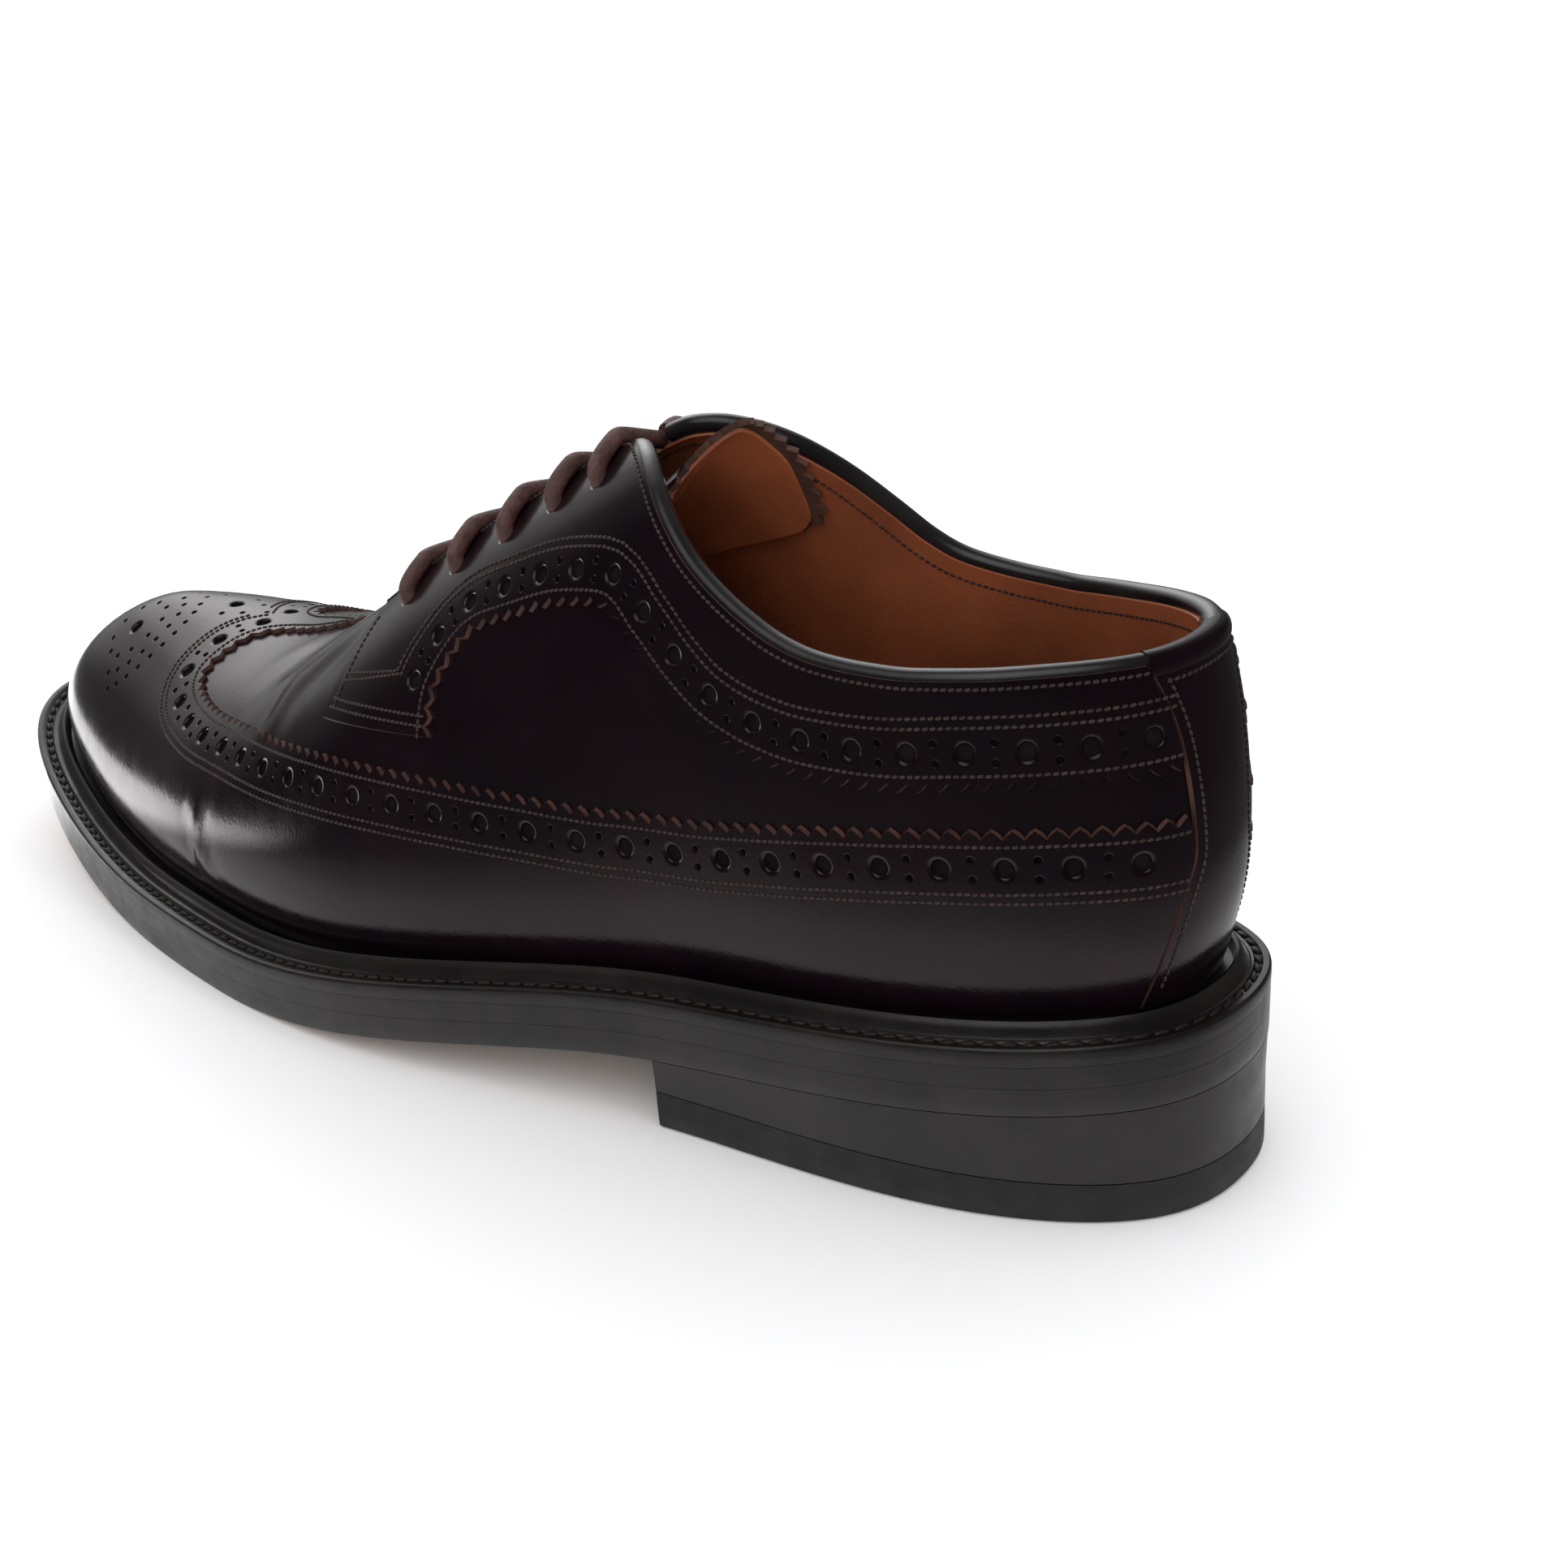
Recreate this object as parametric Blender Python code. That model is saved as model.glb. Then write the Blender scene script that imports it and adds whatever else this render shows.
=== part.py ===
"""Long wing brogue derby, left shoe: an assembly of closed solids around one hollow upper.

Sizes are millimetres and become metres when a mesh is made.  x is positive to the inner side of the
foot, y runs from the heel to the toe, z is up and the floor is z = 0.  The upper is a chart: a station
measured along the feather line (where the wall meets the welt) and a rise measured up the wall.
"""
import math

import bmesh
import bpy
import numpy as np
from mathutils import Vector
from mathutils.geometry import delaunay_2d_cdt

MM = 0.001

# Driving sizes of the sole
BREAST_Y = 88.0
HEEL_SEAT_AT_BREAST = 13.0
HEEL_SEAT_AT_BACK = 20.5
TOP_LIFT_THICKNESS = 7.0
FLAT_START_Y = 190.0
FLAT_END_Y = 222.0
TOE_SPRING = 17.0
WELT_TOP = 11.5
PIECE_GAP = 0.3
STRAP_GAP = 0.7
SOLE_LEVELS = 33
WAIST_START_Y = 60.0
WAIST_LENGTH = 90.0
LIFT_SEAM = 0.1

# Driving sizes of the upper
FEATHER_INSET_HEEL = 7.5
FEATHER_INSET_FORE = 9.0
OVERLAY_INNER = -1.1
OVERLAY_OUTER = 0.0
WALL_OUTER = -1.55
WALL_INNER = -3.55
TONGUE_OUTER = -4.2
TONGUE_INNER = -6.0
TOE_FAN_START_Y = 225.0
HEEL_FAN_START_Y = 75.0
GRID_CLOSE = 5.0
GRID_WIDE = 10.5
HEEL_CURVE_END = 25.0
TOE_CURVE_START = 245.0
GRID_RISE = 8.5
EDGE_SPACING = 6.0
WELD_REACH = 0.05
EDGE_CLEARANCE = 3.4
HOLE_CLEARANCE = 1.7
HEEL_MATCH_START = 10.0
HEEL_MATCH_LENGTH = 40.0
CURVE_SAMPLES = 400
OUTLINE_SAMPLES = 4001
SHARP_ANGLE = 40.0

HEEL_BACK = (-1.0, 0.0)
TOE_TIP = (6.5, 305.5)
# Sole edge, columns: x, y
LATERAL_EDGE = [
    (-17.5, 5.0), (-31.5, 27.0), (-37.5, 58.0), (-40.0, 90.0), (-45.5, 122.0),
    (-50.5, 162.0), (-46.5, 204.0), (-39.0, 237.0), (-28.5, 269.0), (-12.5, 297.5),
]
MEDIAL_EDGE = [
    (16.0, 6.0), (28.5, 30.0), (29.5, 58.0), (26.0, 88.0), (27.5, 116.0),
    (38.5, 146.0), (52.0, 178.0), (57.0, 210.0), (54.0, 243.0), (44.0, 274.5), (26.5, 298.5),
]

# Ridge of the last (above the collar it only steers the walls), columns: y, z, x
RIDGE = [
    (40.0, 125.0, -3.5), (90.0, 116.0, -4.0), (120.0, 103.5, -1.0), (150.0, 89.0, 3.0),
    (180.0, 69.5, 5.0), (205.0, 57.0, 6.5), (230.0, 53.5, 7.5), (250.0, 54.0, 8.0), (264.0, 53.5, 8.0),
]
# Wall sections, columns: y of the feather, bulge, height of the bulge, fullness of the shoulder
LATERAL_WALL = [
    (7.0, 4.2, 25.5, 0.55), (30.0, 3.7, 25.5, 0.57), (60.0, 3.0, 22.0, 0.64), (110.0, 2.0, 18.0, 0.55),
    (160.0, 2.5, 14.0, 0.52), (205.0, 3.0, 12.0, 0.55), (250.0, 2.0, 8.0, 0.46), (297.0, 1.0, 6.0, 0.40),
]
MEDIAL_WALL = [
    (7.0, 4.2, 25.5, 0.55), (30.0, 4.0, 25.5, 0.53), (60.0, 2.5, 24.0, 0.60), (110.0, 0.5, 28.0, 0.52),
    (160.0, 1.5, 20.0, 0.52), (205.0, 2.5, 14.0, 0.58), (250.0, 2.0, 8.0, 0.46), (297.0, 1.0, 6.0, 0.40),
]

# Collar and lace edge of the lateral side, columns: station, rise
TOP_EDGE = [
    (0.0, 55.4), (14.0, 55.6), (25.0, 55.6), (36.0, 55.4), (46.0, 55.4), (54.0, 56.0), (62.0, 57.2),
    (69.0, 59.3), (76.0, 62.6), (83.0, 66.7), (89.0, 71.0), (95.0, 76.6), (101.0, 83.3), (107.0, 89.5),
    (112.5, 93.2), (117.0, 93.8), (122.5, 92.1), (136.0, 87.0), (150.0, 82.0), (163.0, 77.0), (174.0, 72.0),
]
# The same edge of the medial side, which reaches nearer to the ridge, as seen from the lateral side
MEDIAL_TOP_EDGE = [
    (0.0, 55.4), (14.0, 55.6), (25.0, 55.2), (36.0, 54.8), (46.0, 55.0), (54.0, 56.2), (62.0, 58.2),
    (69.0, 61.0), (74.0, 64.8), (79.0, 70.4), (86.5, 79.2), (94.0, 86.7), (100.0, 91.3), (106.0, 95.2),
    (111.0, 97.0), (116.0, 96.6), (122.5, 95.2), (136.0, 93.5), (150.0, 91.0), (163.0, 87.5), (174.0, 83.0),
]
THROAT_Y = 172.0
# Lower edge of the facing from the tab's front corner back to the strap, columns: station, rise
FACING_LOWER_EDGE = [
    (174.0, 45.9), (142.5, 42.6), (143.0, 49.4), (140.5, 56.1), (136.0, 60.6), (128.0, 62.2),
    (116.0, 63.8), (106.5, 63.4), (99.0, 57.7), (91.0, 50.6), (83.5, 45.4), (73.0, 41.4), (63.0, 39.5),
    (50.0, 38.8), (37.0, 39.3), (8.0, 39.6),
]
# Upper edge of the wing from the strap forward to its nose and back to the beak, columns: station, rise
WING_EDGE = [
    (9.0, 32.6), (27.0, 33.4), (40.0, 33.3), (56.0, 32.4), (74.0, 30.8), (88.0, 29.8), (104.0, 30.0),
    (126.0, 32.8), (141.0, 35.3), (158.0, 37.8), (177.0, 39.7), (203.0, 40.7), (217.0, 40.6),
    (229.0, 41.6), (235.5, 43.8), (238.0, 47.4), (237.5, 54.0), (235.0, 60.4), (229.5, 64.7), (221.0, 68.0),
    (213.0, 72.4),
]
BEAK_Y = 200.0
HEEL_SEAM_STEPS = 8
# Front edge of the back strap, columns: station, rise
STRAP_EDGE = [
    (13.5, 1.0), (9.5, 19.5), (7.5, 27.0), (8.0, 36.0), (9.0, 45.0), (10.2, 50.0), (12.0, 55.2),
]
STRAP_STEPS = 6
STRAP_JOIN = 2.0
EYELET_STATIONS = [115.5, 126.0, 137.0, 149.0, 161.5]
EYELET_BELOW_EDGE = 8.3
EYELET_RADIUS = 2.0
EYELET_SIDES = 8
LACE_RADIUS = 1.6
LACE_SIDES = 8
LACE_STEPS = 4
LACE_LIFT = 2.1
BINDING_RADIUS = 1.1
BINDING_SIDES = 6
BINDING_LIFT = 1.65
BINDING_STOP = 3.0

# Edges of the tongue from its front to the middle of its top, columns: y, distance from the ridge
TONGUE_LATERAL = [
    (186.0, 17.0), (150.0, 23.0), (120.0, 29.0), (106.0, 31.6), (100.0, 32.0), (97.0, 30.6), (95.6, 27.0),
    (94.8, 20.0), (93.8, 9.0), (91.8, 4.5), (88.6, 0.0),
]
TONGUE_MEDIAL = [
    (186.0, 17.0), (150.0, 23.0), (118.0, 29.0), (98.0, 32.0), (90.0, 33.0), (85.5, 32.6), (83.8, 30.4),
    (84.2, 24.0), (84.6, 18.3), (85.9, 13.5), (87.6, 6.0), (88.6, 0.0),
]
TONGUE_SPACING = 5.0
# How far the tongue's middle lies under the last, columns: y, depth
TONGUE_SINK = [
    (80.0, 0.0), (90.0, 0.4), (104.0, 5.0), (116.0, 8.0), (130.0, 6.0), (146.0, 2.5), (165.0, 0.0),
    (186.0, 0.0),
]
TONGUE_SINK_REACH = 20.0

# Side profiles of the sole's layers, columns: inset from the sole edge, height over the sole's bottom
OUTSOLE_PROFILE = [(1.4, 0.0), (0.4, 0.9), (0.2, 4.0), (0.5, 4.6)]
MIDSOLE_PROFILE = [(0.5, 4.9), (0.1, 5.3), (0.1, 7.9), (0.5, 8.3)]
WELT_PROFILE = [
    (0.4, 8.6), (0.0, 9.1), (0.0, 10.9), (0.5, 11.5), (3.4, 11.5), (4.2, 11.0), (4.9, 11.6),
    (5.5, 13.2), (6.3, 13.8), (7.0, 13.2), (7.3, 11.5), (14.0, 11.5), (14.0, 8.6),
]
INSOLE_PROFILE = [(15.8, 8.6), (15.8, 11.8), (15.2, 11.9), (15.2, 14.2)]
HEEL_INSET_SCALE = 0.8
# Side profile of the heel, columns: inset from the sole edge, share of the height
HEEL_PROFILE = [(0.9, 0.0), (1.1, 0.4), (0.7, 1.0)]
LIFT_PROFILE = [(1.4, 0.0), (0.7, 0.12), (0.8, 1.0)]

# Colours of the pieces, columns: red, green, blue, roughness
COLOURS = {
    "leather": (0.020, 0.008, 0.008, 0.25),
    "edge": (0.013, 0.010, 0.009, 0.40),
    "rubber": (0.012, 0.012, 0.012, 0.60),
    "lining": (0.280, 0.130, 0.060, 0.55),
    "lace": (0.030, 0.016, 0.012, 0.60),
    "binding": (0.008, 0.008, 0.008, 0.30),
}


def clear_scene():
    for item in list(bpy.data.objects):
        bpy.data.objects.remove(item, do_unlink=True)


def table_curve(rows, column, at):
    """Smooth curve through a table's column over its first column, without overshoot."""
    table = np.array(rows)
    keys, values = table[:, 0], table[:, column]
    gaps = np.diff(keys)
    slopes = np.diff(values) / gaps
    tangents = np.zeros(len(keys))
    tangents[0], tangents[-1] = slopes[0], slopes[-1]
    for i in range(1, len(keys) - 1):
        if slopes[i - 1] * slopes[i] > 0.0:
            first = 2 * gaps[i] + gaps[i - 1]
            second = gaps[i] + 2 * gaps[i - 1]
            tangents[i] = (first + second) / (first / slopes[i - 1] + second / slopes[i])
    at = np.clip(at, keys[0], keys[-1])
    i = np.clip(np.searchsorted(keys, at, side="right") - 1, 0, len(gaps) - 1)
    t = (at - keys[i]) / gaps[i]
    return (values[i] * (1 + 2 * t) * (1 - t) ** 2 + tangents[i] * gaps[i] * t * (1 - t) ** 2
            + values[i + 1] * t * t * (3 - 2 * t) + tangents[i + 1] * gaps[i] * t * t * (t - 1))


class ClosedSpline:
    """Smooth closed curve through points, read with a parameter from 0 to its length."""

    def __init__(self, points):
        self.points = np.array(points)
        after = np.roll(self.points, -1, axis=0)
        self.gaps = np.sqrt(np.linalg.norm(after - self.points, axis=1))
        self.knots = np.concatenate([[0.0], np.cumsum(self.gaps)])
        count = len(self.points)
        matrix = np.zeros((count, count))
        target = np.zeros_like(self.points)
        for i in range(count):
            matrix[i, i - 1] += self.gaps[i - 1]
            matrix[i, i] += 2 * (self.gaps[i - 1] + self.gaps[i])
            matrix[i, (i + 1) % count] += self.gaps[i]
            ahead = (after[i] - self.points[i]) / self.gaps[i]
            behind = (self.points[i] - self.points[i - 1]) / self.gaps[i - 1]
            target[i] = 6 * (ahead - behind)
        self.bends = np.linalg.solve(matrix, target)

    def read(self, at):
        """Points and slopes at the parameters."""
        at = np.mod(at, self.knots[-1])
        i = np.clip(np.searchsorted(self.knots, at, side="right") - 1, 0, len(self.gaps) - 1)
        j = (i + 1) % len(self.gaps)
        gap = self.gaps[i][:, None]
        b = (at - self.knots[i])[:, None] / gap
        a = 1 - b
        bend = (a ** 3 - a) * self.bends[i] + (b ** 3 - b) * self.bends[j]
        point = a * self.points[i] + b * self.points[j] + bend * gap ** 2 / 6
        turn = (3 * b * b - 1) * self.bends[j] - (3 * a * a - 1) * self.bends[i]
        slope = (self.points[j] - self.points[i]) / gap + turn * gap / 6
        return point, slope


EDGE = ClosedSpline([HEEL_BACK] + LATERAL_EDGE + [TOE_TIP] + MEDIAL_EDGE[::-1])
TOE_KNOT = EDGE.knots[len(LATERAL_EDGE) + 1]


def edge_points(turn, inset):
    """Points of the sole edge set in by a distance; turn is 0 at the heel, 1 at the toe, 2 at the heel."""
    turn = np.asarray(turn, dtype=float)
    rest = EDGE.knots[-1] - TOE_KNOT
    at = np.where(turn <= 1, turn * TOE_KNOT, TOE_KNOT + (turn - 1) * rest)
    point, slope = EDGE.read(at)
    inward = np.stack([slope[:, 1], -slope[:, 0]], axis=1)
    inward /= np.linalg.norm(inward, axis=1)[:, None]
    return point + inward * np.broadcast_to(inset, at.shape)[:, None]


def sole_bottom(y):
    """Height of the sole's bottom: heel seat, arch, flat forefoot and toe spring."""
    y = np.asarray(y, dtype=float)
    seat = HEEL_SEAT_AT_BREAST + (HEEL_SEAT_AT_BACK - HEEL_SEAT_AT_BREAST) * (BREAST_Y - y) / BREAST_Y
    u = np.clip((FLAT_START_Y - y) / (FLAT_START_Y - BREAST_Y), 0.0, 1.0)
    arch = HEEL_SEAT_AT_BREAST * 0.5 * (3 * u ** 2 - 2 * u ** 3 + u ** 1.5)
    rise = np.clip((y - FLAT_END_Y) / (TOE_TIP[1] - FLAT_END_Y), 0.0, None)
    return np.where(y < BREAST_Y, seat, arch) + TOE_SPRING * rise ** 2


def heel_to_fore(y):
    """Share from 0 over the heel to 1 over the forefoot."""
    return np.clip((np.asarray(y) - WAIST_START_Y) / WAIST_LENGTH, 0.0, 1.0)


def feather_points(turn):
    """The line where the wall of the upper stands on the welt."""
    y = edge_points(turn, 0.0)[:, 1]
    inset = FEATHER_INSET_HEEL + (FEATHER_INSET_FORE - FEATHER_INSET_HEEL) * heel_to_fore(y)
    point = edge_points(turn, inset)
    height = sole_bottom(point[:, 1]) + WELT_TOP + 2 * PIECE_GAP
    return np.column_stack([point, height])


def fanned_ridge_y(feather_y, toe_y, back_y):
    """Where a wall section that starts at the feather reaches the ridge; sections fan at toe and heel."""
    toe = np.clip((feather_y - TOE_FAN_START_Y) / (toe_y - TOE_FAN_START_Y), 0.0, 1.0)
    heel = np.clip((HEEL_FAN_START_Y - feather_y) / (HEEL_FAN_START_Y - back_y), 0.0, 1.0)
    toe_reach = (toe_y - TOE_FAN_START_Y) / 2
    heel_reach = (HEEL_FAN_START_Y - back_y) / 2
    middle = np.clip(feather_y, HEEL_FAN_START_Y, TOE_FAN_START_Y)
    return middle + toe_reach * (1 - (1 - toe) ** 2) - heel_reach * (1 - (1 - heel) ** 2)


class Last:
    """The outer form of the shoe above the welt, read by station and rise."""

    SECTIONS = 601
    STEPS = 121
    FOOT_STEPS = 30

    def __init__(self):
        turn = np.concatenate([np.linspace(0, 1, self.SECTIONS), np.linspace(1, 2, self.SECTIONS)[1:]])
        feather = feather_points(turn)
        along = np.linalg.norm(np.diff(feather, axis=0), axis=1)
        self.stations = np.concatenate([[0.0], np.cumsum(along)])
        self.length = self.stations[-1]
        self.toe_station = self.stations[self.SECTIONS - 1]
        toe_y, back_y = feather[:, 1].max(), feather[:, 1].min()
        self.ridge_y = fanned_ridge_y(feather[:, 1], toe_y, back_y)
        self.points = self.sections(turn, feather)
        steps = np.linalg.norm(np.diff(self.points, axis=1), axis=2)
        self.rises = np.concatenate([np.zeros((len(turn), 1)), np.cumsum(steps, axis=1)], axis=1)
        self.normals = self.surface_normals()

    def sections(self, turn, feather):
        """One curve a station: a foot that bulges outwards, then a rounded shoulder up to the ridge."""
        lateral = turn <= 1
        wall = [np.where(lateral, table_curve(LATERAL_WALL, c, feather[:, 1]),
                         table_curve(MEDIAL_WALL, c, feather[:, 1]))[:, None] for c in (1, 2, 3)]
        bulge, bulge_height, fullness = wall
        ridge_z = table_curve(RIDGE, 1, self.ridge_y)[:, None]
        ridge_x = table_curve(RIDGE, 2, self.ridge_y)[:, None]
        span = np.column_stack([ridge_x[:, 0] - feather[:, 0], self.ridge_y - feather[:, 1]])
        reach = np.linalg.norm(span, axis=1)[:, None]
        way = span / reach
        foot = np.linspace(0, 1, self.FOOT_STEPS, endpoint=False)[None, :]
        foot_in = -bulge * (1 - (1 - foot) ** 2)
        foot_up = bulge_height * foot
        t = np.linspace(0, 1, self.STEPS - self.FOOT_STEPS)[None, :]
        b1, b2, b3 = 3 * t * (1 - t) ** 2, 3 * t * t * (1 - t), t ** 3
        climb = ridge_z - feather[:, 2:3] - bulge_height
        top_in = -bulge + (reach + bulge) * (b2 * (1 - fullness) + b3)
        top_up = bulge_height + climb * (b1 * fullness + b2 + b3)
        inward = np.concatenate([foot_in, top_in], axis=1)
        up = np.concatenate([foot_up, top_up], axis=1)
        x = feather[:, 0:1] + way[:, 0:1] * inward
        y = feather[:, 1:2] + way[:, 1:2] * inward
        return np.stack([x, y, feather[:, 2:3] + up], axis=2)

    def surface_normals(self):
        around = np.zeros_like(self.points)
        around[1:-1] = self.points[2:] - self.points[:-2]
        around[0] = around[-1] = self.points[1] - self.points[-2]
        up = np.gradient(self.points, axis=1)
        normal = np.cross(up, around)
        climb = np.gradient(table_curve(RIDGE, 1, self.ridge_y))
        y_step = np.gradient(self.ridge_y)
        y_step = np.where(np.abs(y_step) < 1e-6, 1e-6, y_step)
        normal[:, -1] = np.column_stack([np.zeros(len(climb)), -climb / y_step, np.ones(len(climb))])
        normal /= np.maximum(np.linalg.norm(normal, axis=2), 1e-9)[:, :, None]
        return normal

    def place(self, station, rise, offset):
        """Points at stations and rises, moved out of the surface by an offset."""
        station = np.mod(np.asarray(station, dtype=float), self.length)
        level = np.clip(np.asarray(rise, dtype=float) / self.top_rise(station), 0.0, 1.0)
        row = np.clip(np.searchsorted(self.stations, station, side="right") - 1, 0, len(self.stations) - 2)
        share = (station - self.stations[row]) / (self.stations[row + 1] - self.stations[row])
        found = np.zeros((len(station), 3))
        normal = np.zeros((len(station), 3))
        for k in range(len(station)):
            for i, part in ((row[k], 1 - share[k]), (row[k] + 1, share[k])):
                at = level[k] * self.rises[i, -1]
                for c in range(3):
                    found[k, c] += part * np.interp(at, self.rises[i], self.points[i, :, c])
                    normal[k, c] += part * np.interp(at, self.rises[i], self.normals[i, :, c])
        normal /= np.linalg.norm(normal, axis=1)[:, None]
        return found + normal * np.broadcast_to(offset, len(station))[:, None]

    def top_rise(self, station):
        """Rise at which a section reaches the ridge."""
        return np.interp(np.mod(station, self.length), self.stations, self.rises[:, -1])

    def ridge_station(self, y, medial):
        """Station of the section that reaches the ridge at y."""
        middle = int(np.argmax(self.stations >= self.toe_station))
        if medial:
            return np.interp(y, self.ridge_y[middle:][::-1], self.stations[middle:][::-1])
        return np.interp(y, self.ridge_y[:middle + 1], self.stations[:middle + 1])

    def medial_station(self, station):
        """Medial station that faces a lateral one: by length at the heel, by the ridge's y further on."""
        share = np.clip((station - HEEL_MATCH_START) / HEEL_MATCH_LENGTH, 0.0, 1.0)
        share = share * share * (3 - 2 * share)
        facing = self.ridge_station(np.interp(station, self.stations, self.ridge_y), True)
        return (1 - share) * (self.length - station) + share * facing

    def mirrored(self, line):
        """A line of the lateral side carried to the medial side, listed from its last point back."""
        line = np.array(line)
        station = self.medial_station(line[:, 0])
        rise = line[:, 1] * self.top_rise(station) / self.top_rise(line[:, 0])
        return np.column_stack([station, rise])[::-1]


LAST = Last()


def chart_curve(rows, spacing):
    """Points at even spacing along a smooth open curve through a chart table's rows."""
    rows = np.array(rows, dtype=float)
    gaps = np.sqrt(np.linalg.norm(np.diff(rows, axis=0), axis=1))
    keys = np.concatenate([[0.0], np.cumsum(gaps)])
    dense = np.linspace(0.0, keys[-1], CURVE_SAMPLES)
    curve = np.column_stack([table_curve(np.column_stack([keys, rows]), c, dense) for c in (1, 2)])
    return even_points(curve, spacing)


def even_points(curve, spacing):
    """A polyline read again at even spacing."""
    walked = np.concatenate([[0.0], np.cumsum(np.linalg.norm(np.diff(curve, axis=0), axis=1))])
    count = max(2, int(round(walked[-1] / spacing)) + 1)
    at = np.linspace(0.0, walked[-1], count)
    return np.column_stack([np.interp(at, walked, curve[:, c]) for c in (0, 1)])


def ridge_line(from_y, to_y, medial):
    """Chart points along the ridge, the same heights on both sides so that the halves join."""
    count = max(2, int(round(abs(to_y - from_y) / EDGE_SPACING)) + 1)
    y = np.linspace(from_y, to_y, count)
    station = LAST.ridge_station(y, medial)
    return np.column_stack([station, LAST.top_rise(station)])


def feather_line(first, last):
    """Chart points along the foot of the wall."""
    count = int(round(abs(last - first) / EDGE_SPACING)) + 1
    return np.column_stack([np.linspace(first, last, count), np.zeros(count)])


def straight(first, last):
    """Chart points at even spacing from one point to another."""
    return even_points(np.array([first, last]), EDGE_SPACING)


def joined(lines):
    """One closed loop from lines that follow each other, without doubled points."""
    loop = [np.array(lines[0][0])]
    for line in lines:
        for point in line:
            if np.linalg.norm(point - loop[-1]) > WELD_REACH:
                loop.append(np.array(point))
    if np.linalg.norm(loop[0] - loop[-1]) < WELD_REACH:
        loop.pop()
    return np.array(loop)


def inside(loop, points):
    """Which points lie inside a loop."""
    x, y = points[:, 0], points[:, 1]
    within = np.zeros(len(points), dtype=bool)
    for (ax, ay), (bx, by) in zip(loop, np.roll(loop, -1, axis=0)):
        crosses = (ay > y) != (by > y)
        level = by - ay if abs(by - ay) > 1e-12 else 1e-12
        within ^= crosses & (x < (bx - ax) * (y - ay) / level + ax)
    return within


def clearance(loop, points):
    """Distance of each point from a loop."""
    best = np.full(len(points), np.inf)
    for a, b in zip(loop, np.roll(loop, -1, axis=0)):
        way = b - a
        t = np.clip(((points - a) @ way) / max(way @ way, 1e-12), 0.0, 1.0)
        best = np.minimum(best, np.linalg.norm(points - a - t[:, None] * way, axis=1))
    return best


def grid_stations():
    """Stations shared by all sheets, closer together round the heel and the toe."""
    found = [0.0]
    while found[-1] < LAST.toe_station - GRID_CLOSE:
        curved = found[-1] < HEEL_CURVE_END or found[-1] > TOE_CURVE_START
        found.append(found[-1] + (GRID_CLOSE if curved else GRID_WIDE))
    near = np.array(found)
    far = LAST.medial_station(near)
    return np.concatenate([far - LAST.length, near, far])


def triangulate(loop, holes):
    """Chart points and triangles that fill a loop around its holes."""
    stations = grid_stations()
    rises = np.arange(1, loop[:, 1].max() / GRID_RISE + 1) * GRID_RISE
    grid = np.array([(s, r) for s in stations for r in rises])
    keep = inside(loop, grid) & (clearance(loop, grid) > EDGE_CLEARANCE)
    for hole in holes:
        keep &= ~inside(hole, grid) & (clearance(hole, grid) > HOLE_CLEARANCE)
    points = [Vector(p) for p in loop]
    edges = [(i, (i + 1) % len(loop)) for i in range(len(loop))]
    for hole in holes:
        first = len(points)
        points += [Vector(p) for p in hole]
        edges += [(first + i, first + (i + 1) % len(hole)) for i in range(len(hole))]
    points += [Vector(p) for p in grid[keep]]
    found, _, faces, _, _, _ = delaunay_2d_cdt(points, edges, [], 1, 1e-5)
    found = np.array([tuple(p) for p in found])
    faces = np.array([tuple(f) for f in faces])
    middle = found[faces].mean(axis=1)
    keep = inside(loop, middle)
    for hole in holes:
        keep &= ~inside(hole, middle)
    return found, faces[keep]


def weld(points, faces):
    """Joins points that coincide, as along the ridge, and drops faces that fold to a line."""
    kept = []
    index = np.zeros(len(points), dtype=int)
    for i, point in enumerate(points):
        away = np.linalg.norm(points[kept] - point, axis=1) if kept else np.array([np.inf])
        nearest = int(np.argmin(away))
        if away[nearest] < WELD_REACH:
            index[i] = nearest
        else:
            index[i] = len(kept)
            kept.append(i)
    faces = index[faces]
    whole = (faces[:, 0] != faces[:, 1]) & (faces[:, 1] != faces[:, 2]) & (faces[:, 2] != faces[:, 0])
    return kept, faces[whole]


def level(charts):
    """The depth of a sheet that follows the last."""
    return np.zeros(len(charts))


def shell(name, colour, patches, inner, outer, sink=level):
    """A solid sheet on the last: chart loops with holes, between two offsets, sunk by a function."""
    charts, faces = [], []
    count = 0
    for loop, holes in patches:
        points, triangles = triangulate(loop, holes)
        charts.append(points)
        faces.append(triangles + count)
        count += len(points)
    charts, faces = np.concatenate(charts), np.concatenate(faces)
    kept, faces = weld(LAST.place(charts[:, 0], charts[:, 1], outer), faces)
    charts = charts[kept]
    front = LAST.place(charts[:, 0], charts[:, 1], outer - sink(charts))
    back = LAST.place(charts[:, 0], charts[:, 1], inner - sink(charts))
    sides = {}
    for face in faces:
        for a, b in zip(face, np.roll(face, -1)):
            sides[(a, b)] = True
    walls = []
    for a, b in sides:
        if (b, a) not in sides:
            walls.append((b, a, a + len(front), b + len(front)))
    polygons = [tuple(f) for f in faces] + [tuple(f[::-1] + len(front)) for f in faces] + walls
    return solid(name, colour, np.concatenate([front, back]), polygons)


def material(colour):
    """The plain surface of a piece."""
    red, green, blue, roughness = COLOURS[colour]
    made = bpy.data.materials.new(colour)
    made.use_nodes = True
    shader = made.node_tree.nodes["Principled BSDF"]
    shader.inputs["Base Color"].default_value = (red, green, blue, 1.0)
    shader.inputs["Roughness"].default_value = roughness
    return made


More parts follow.
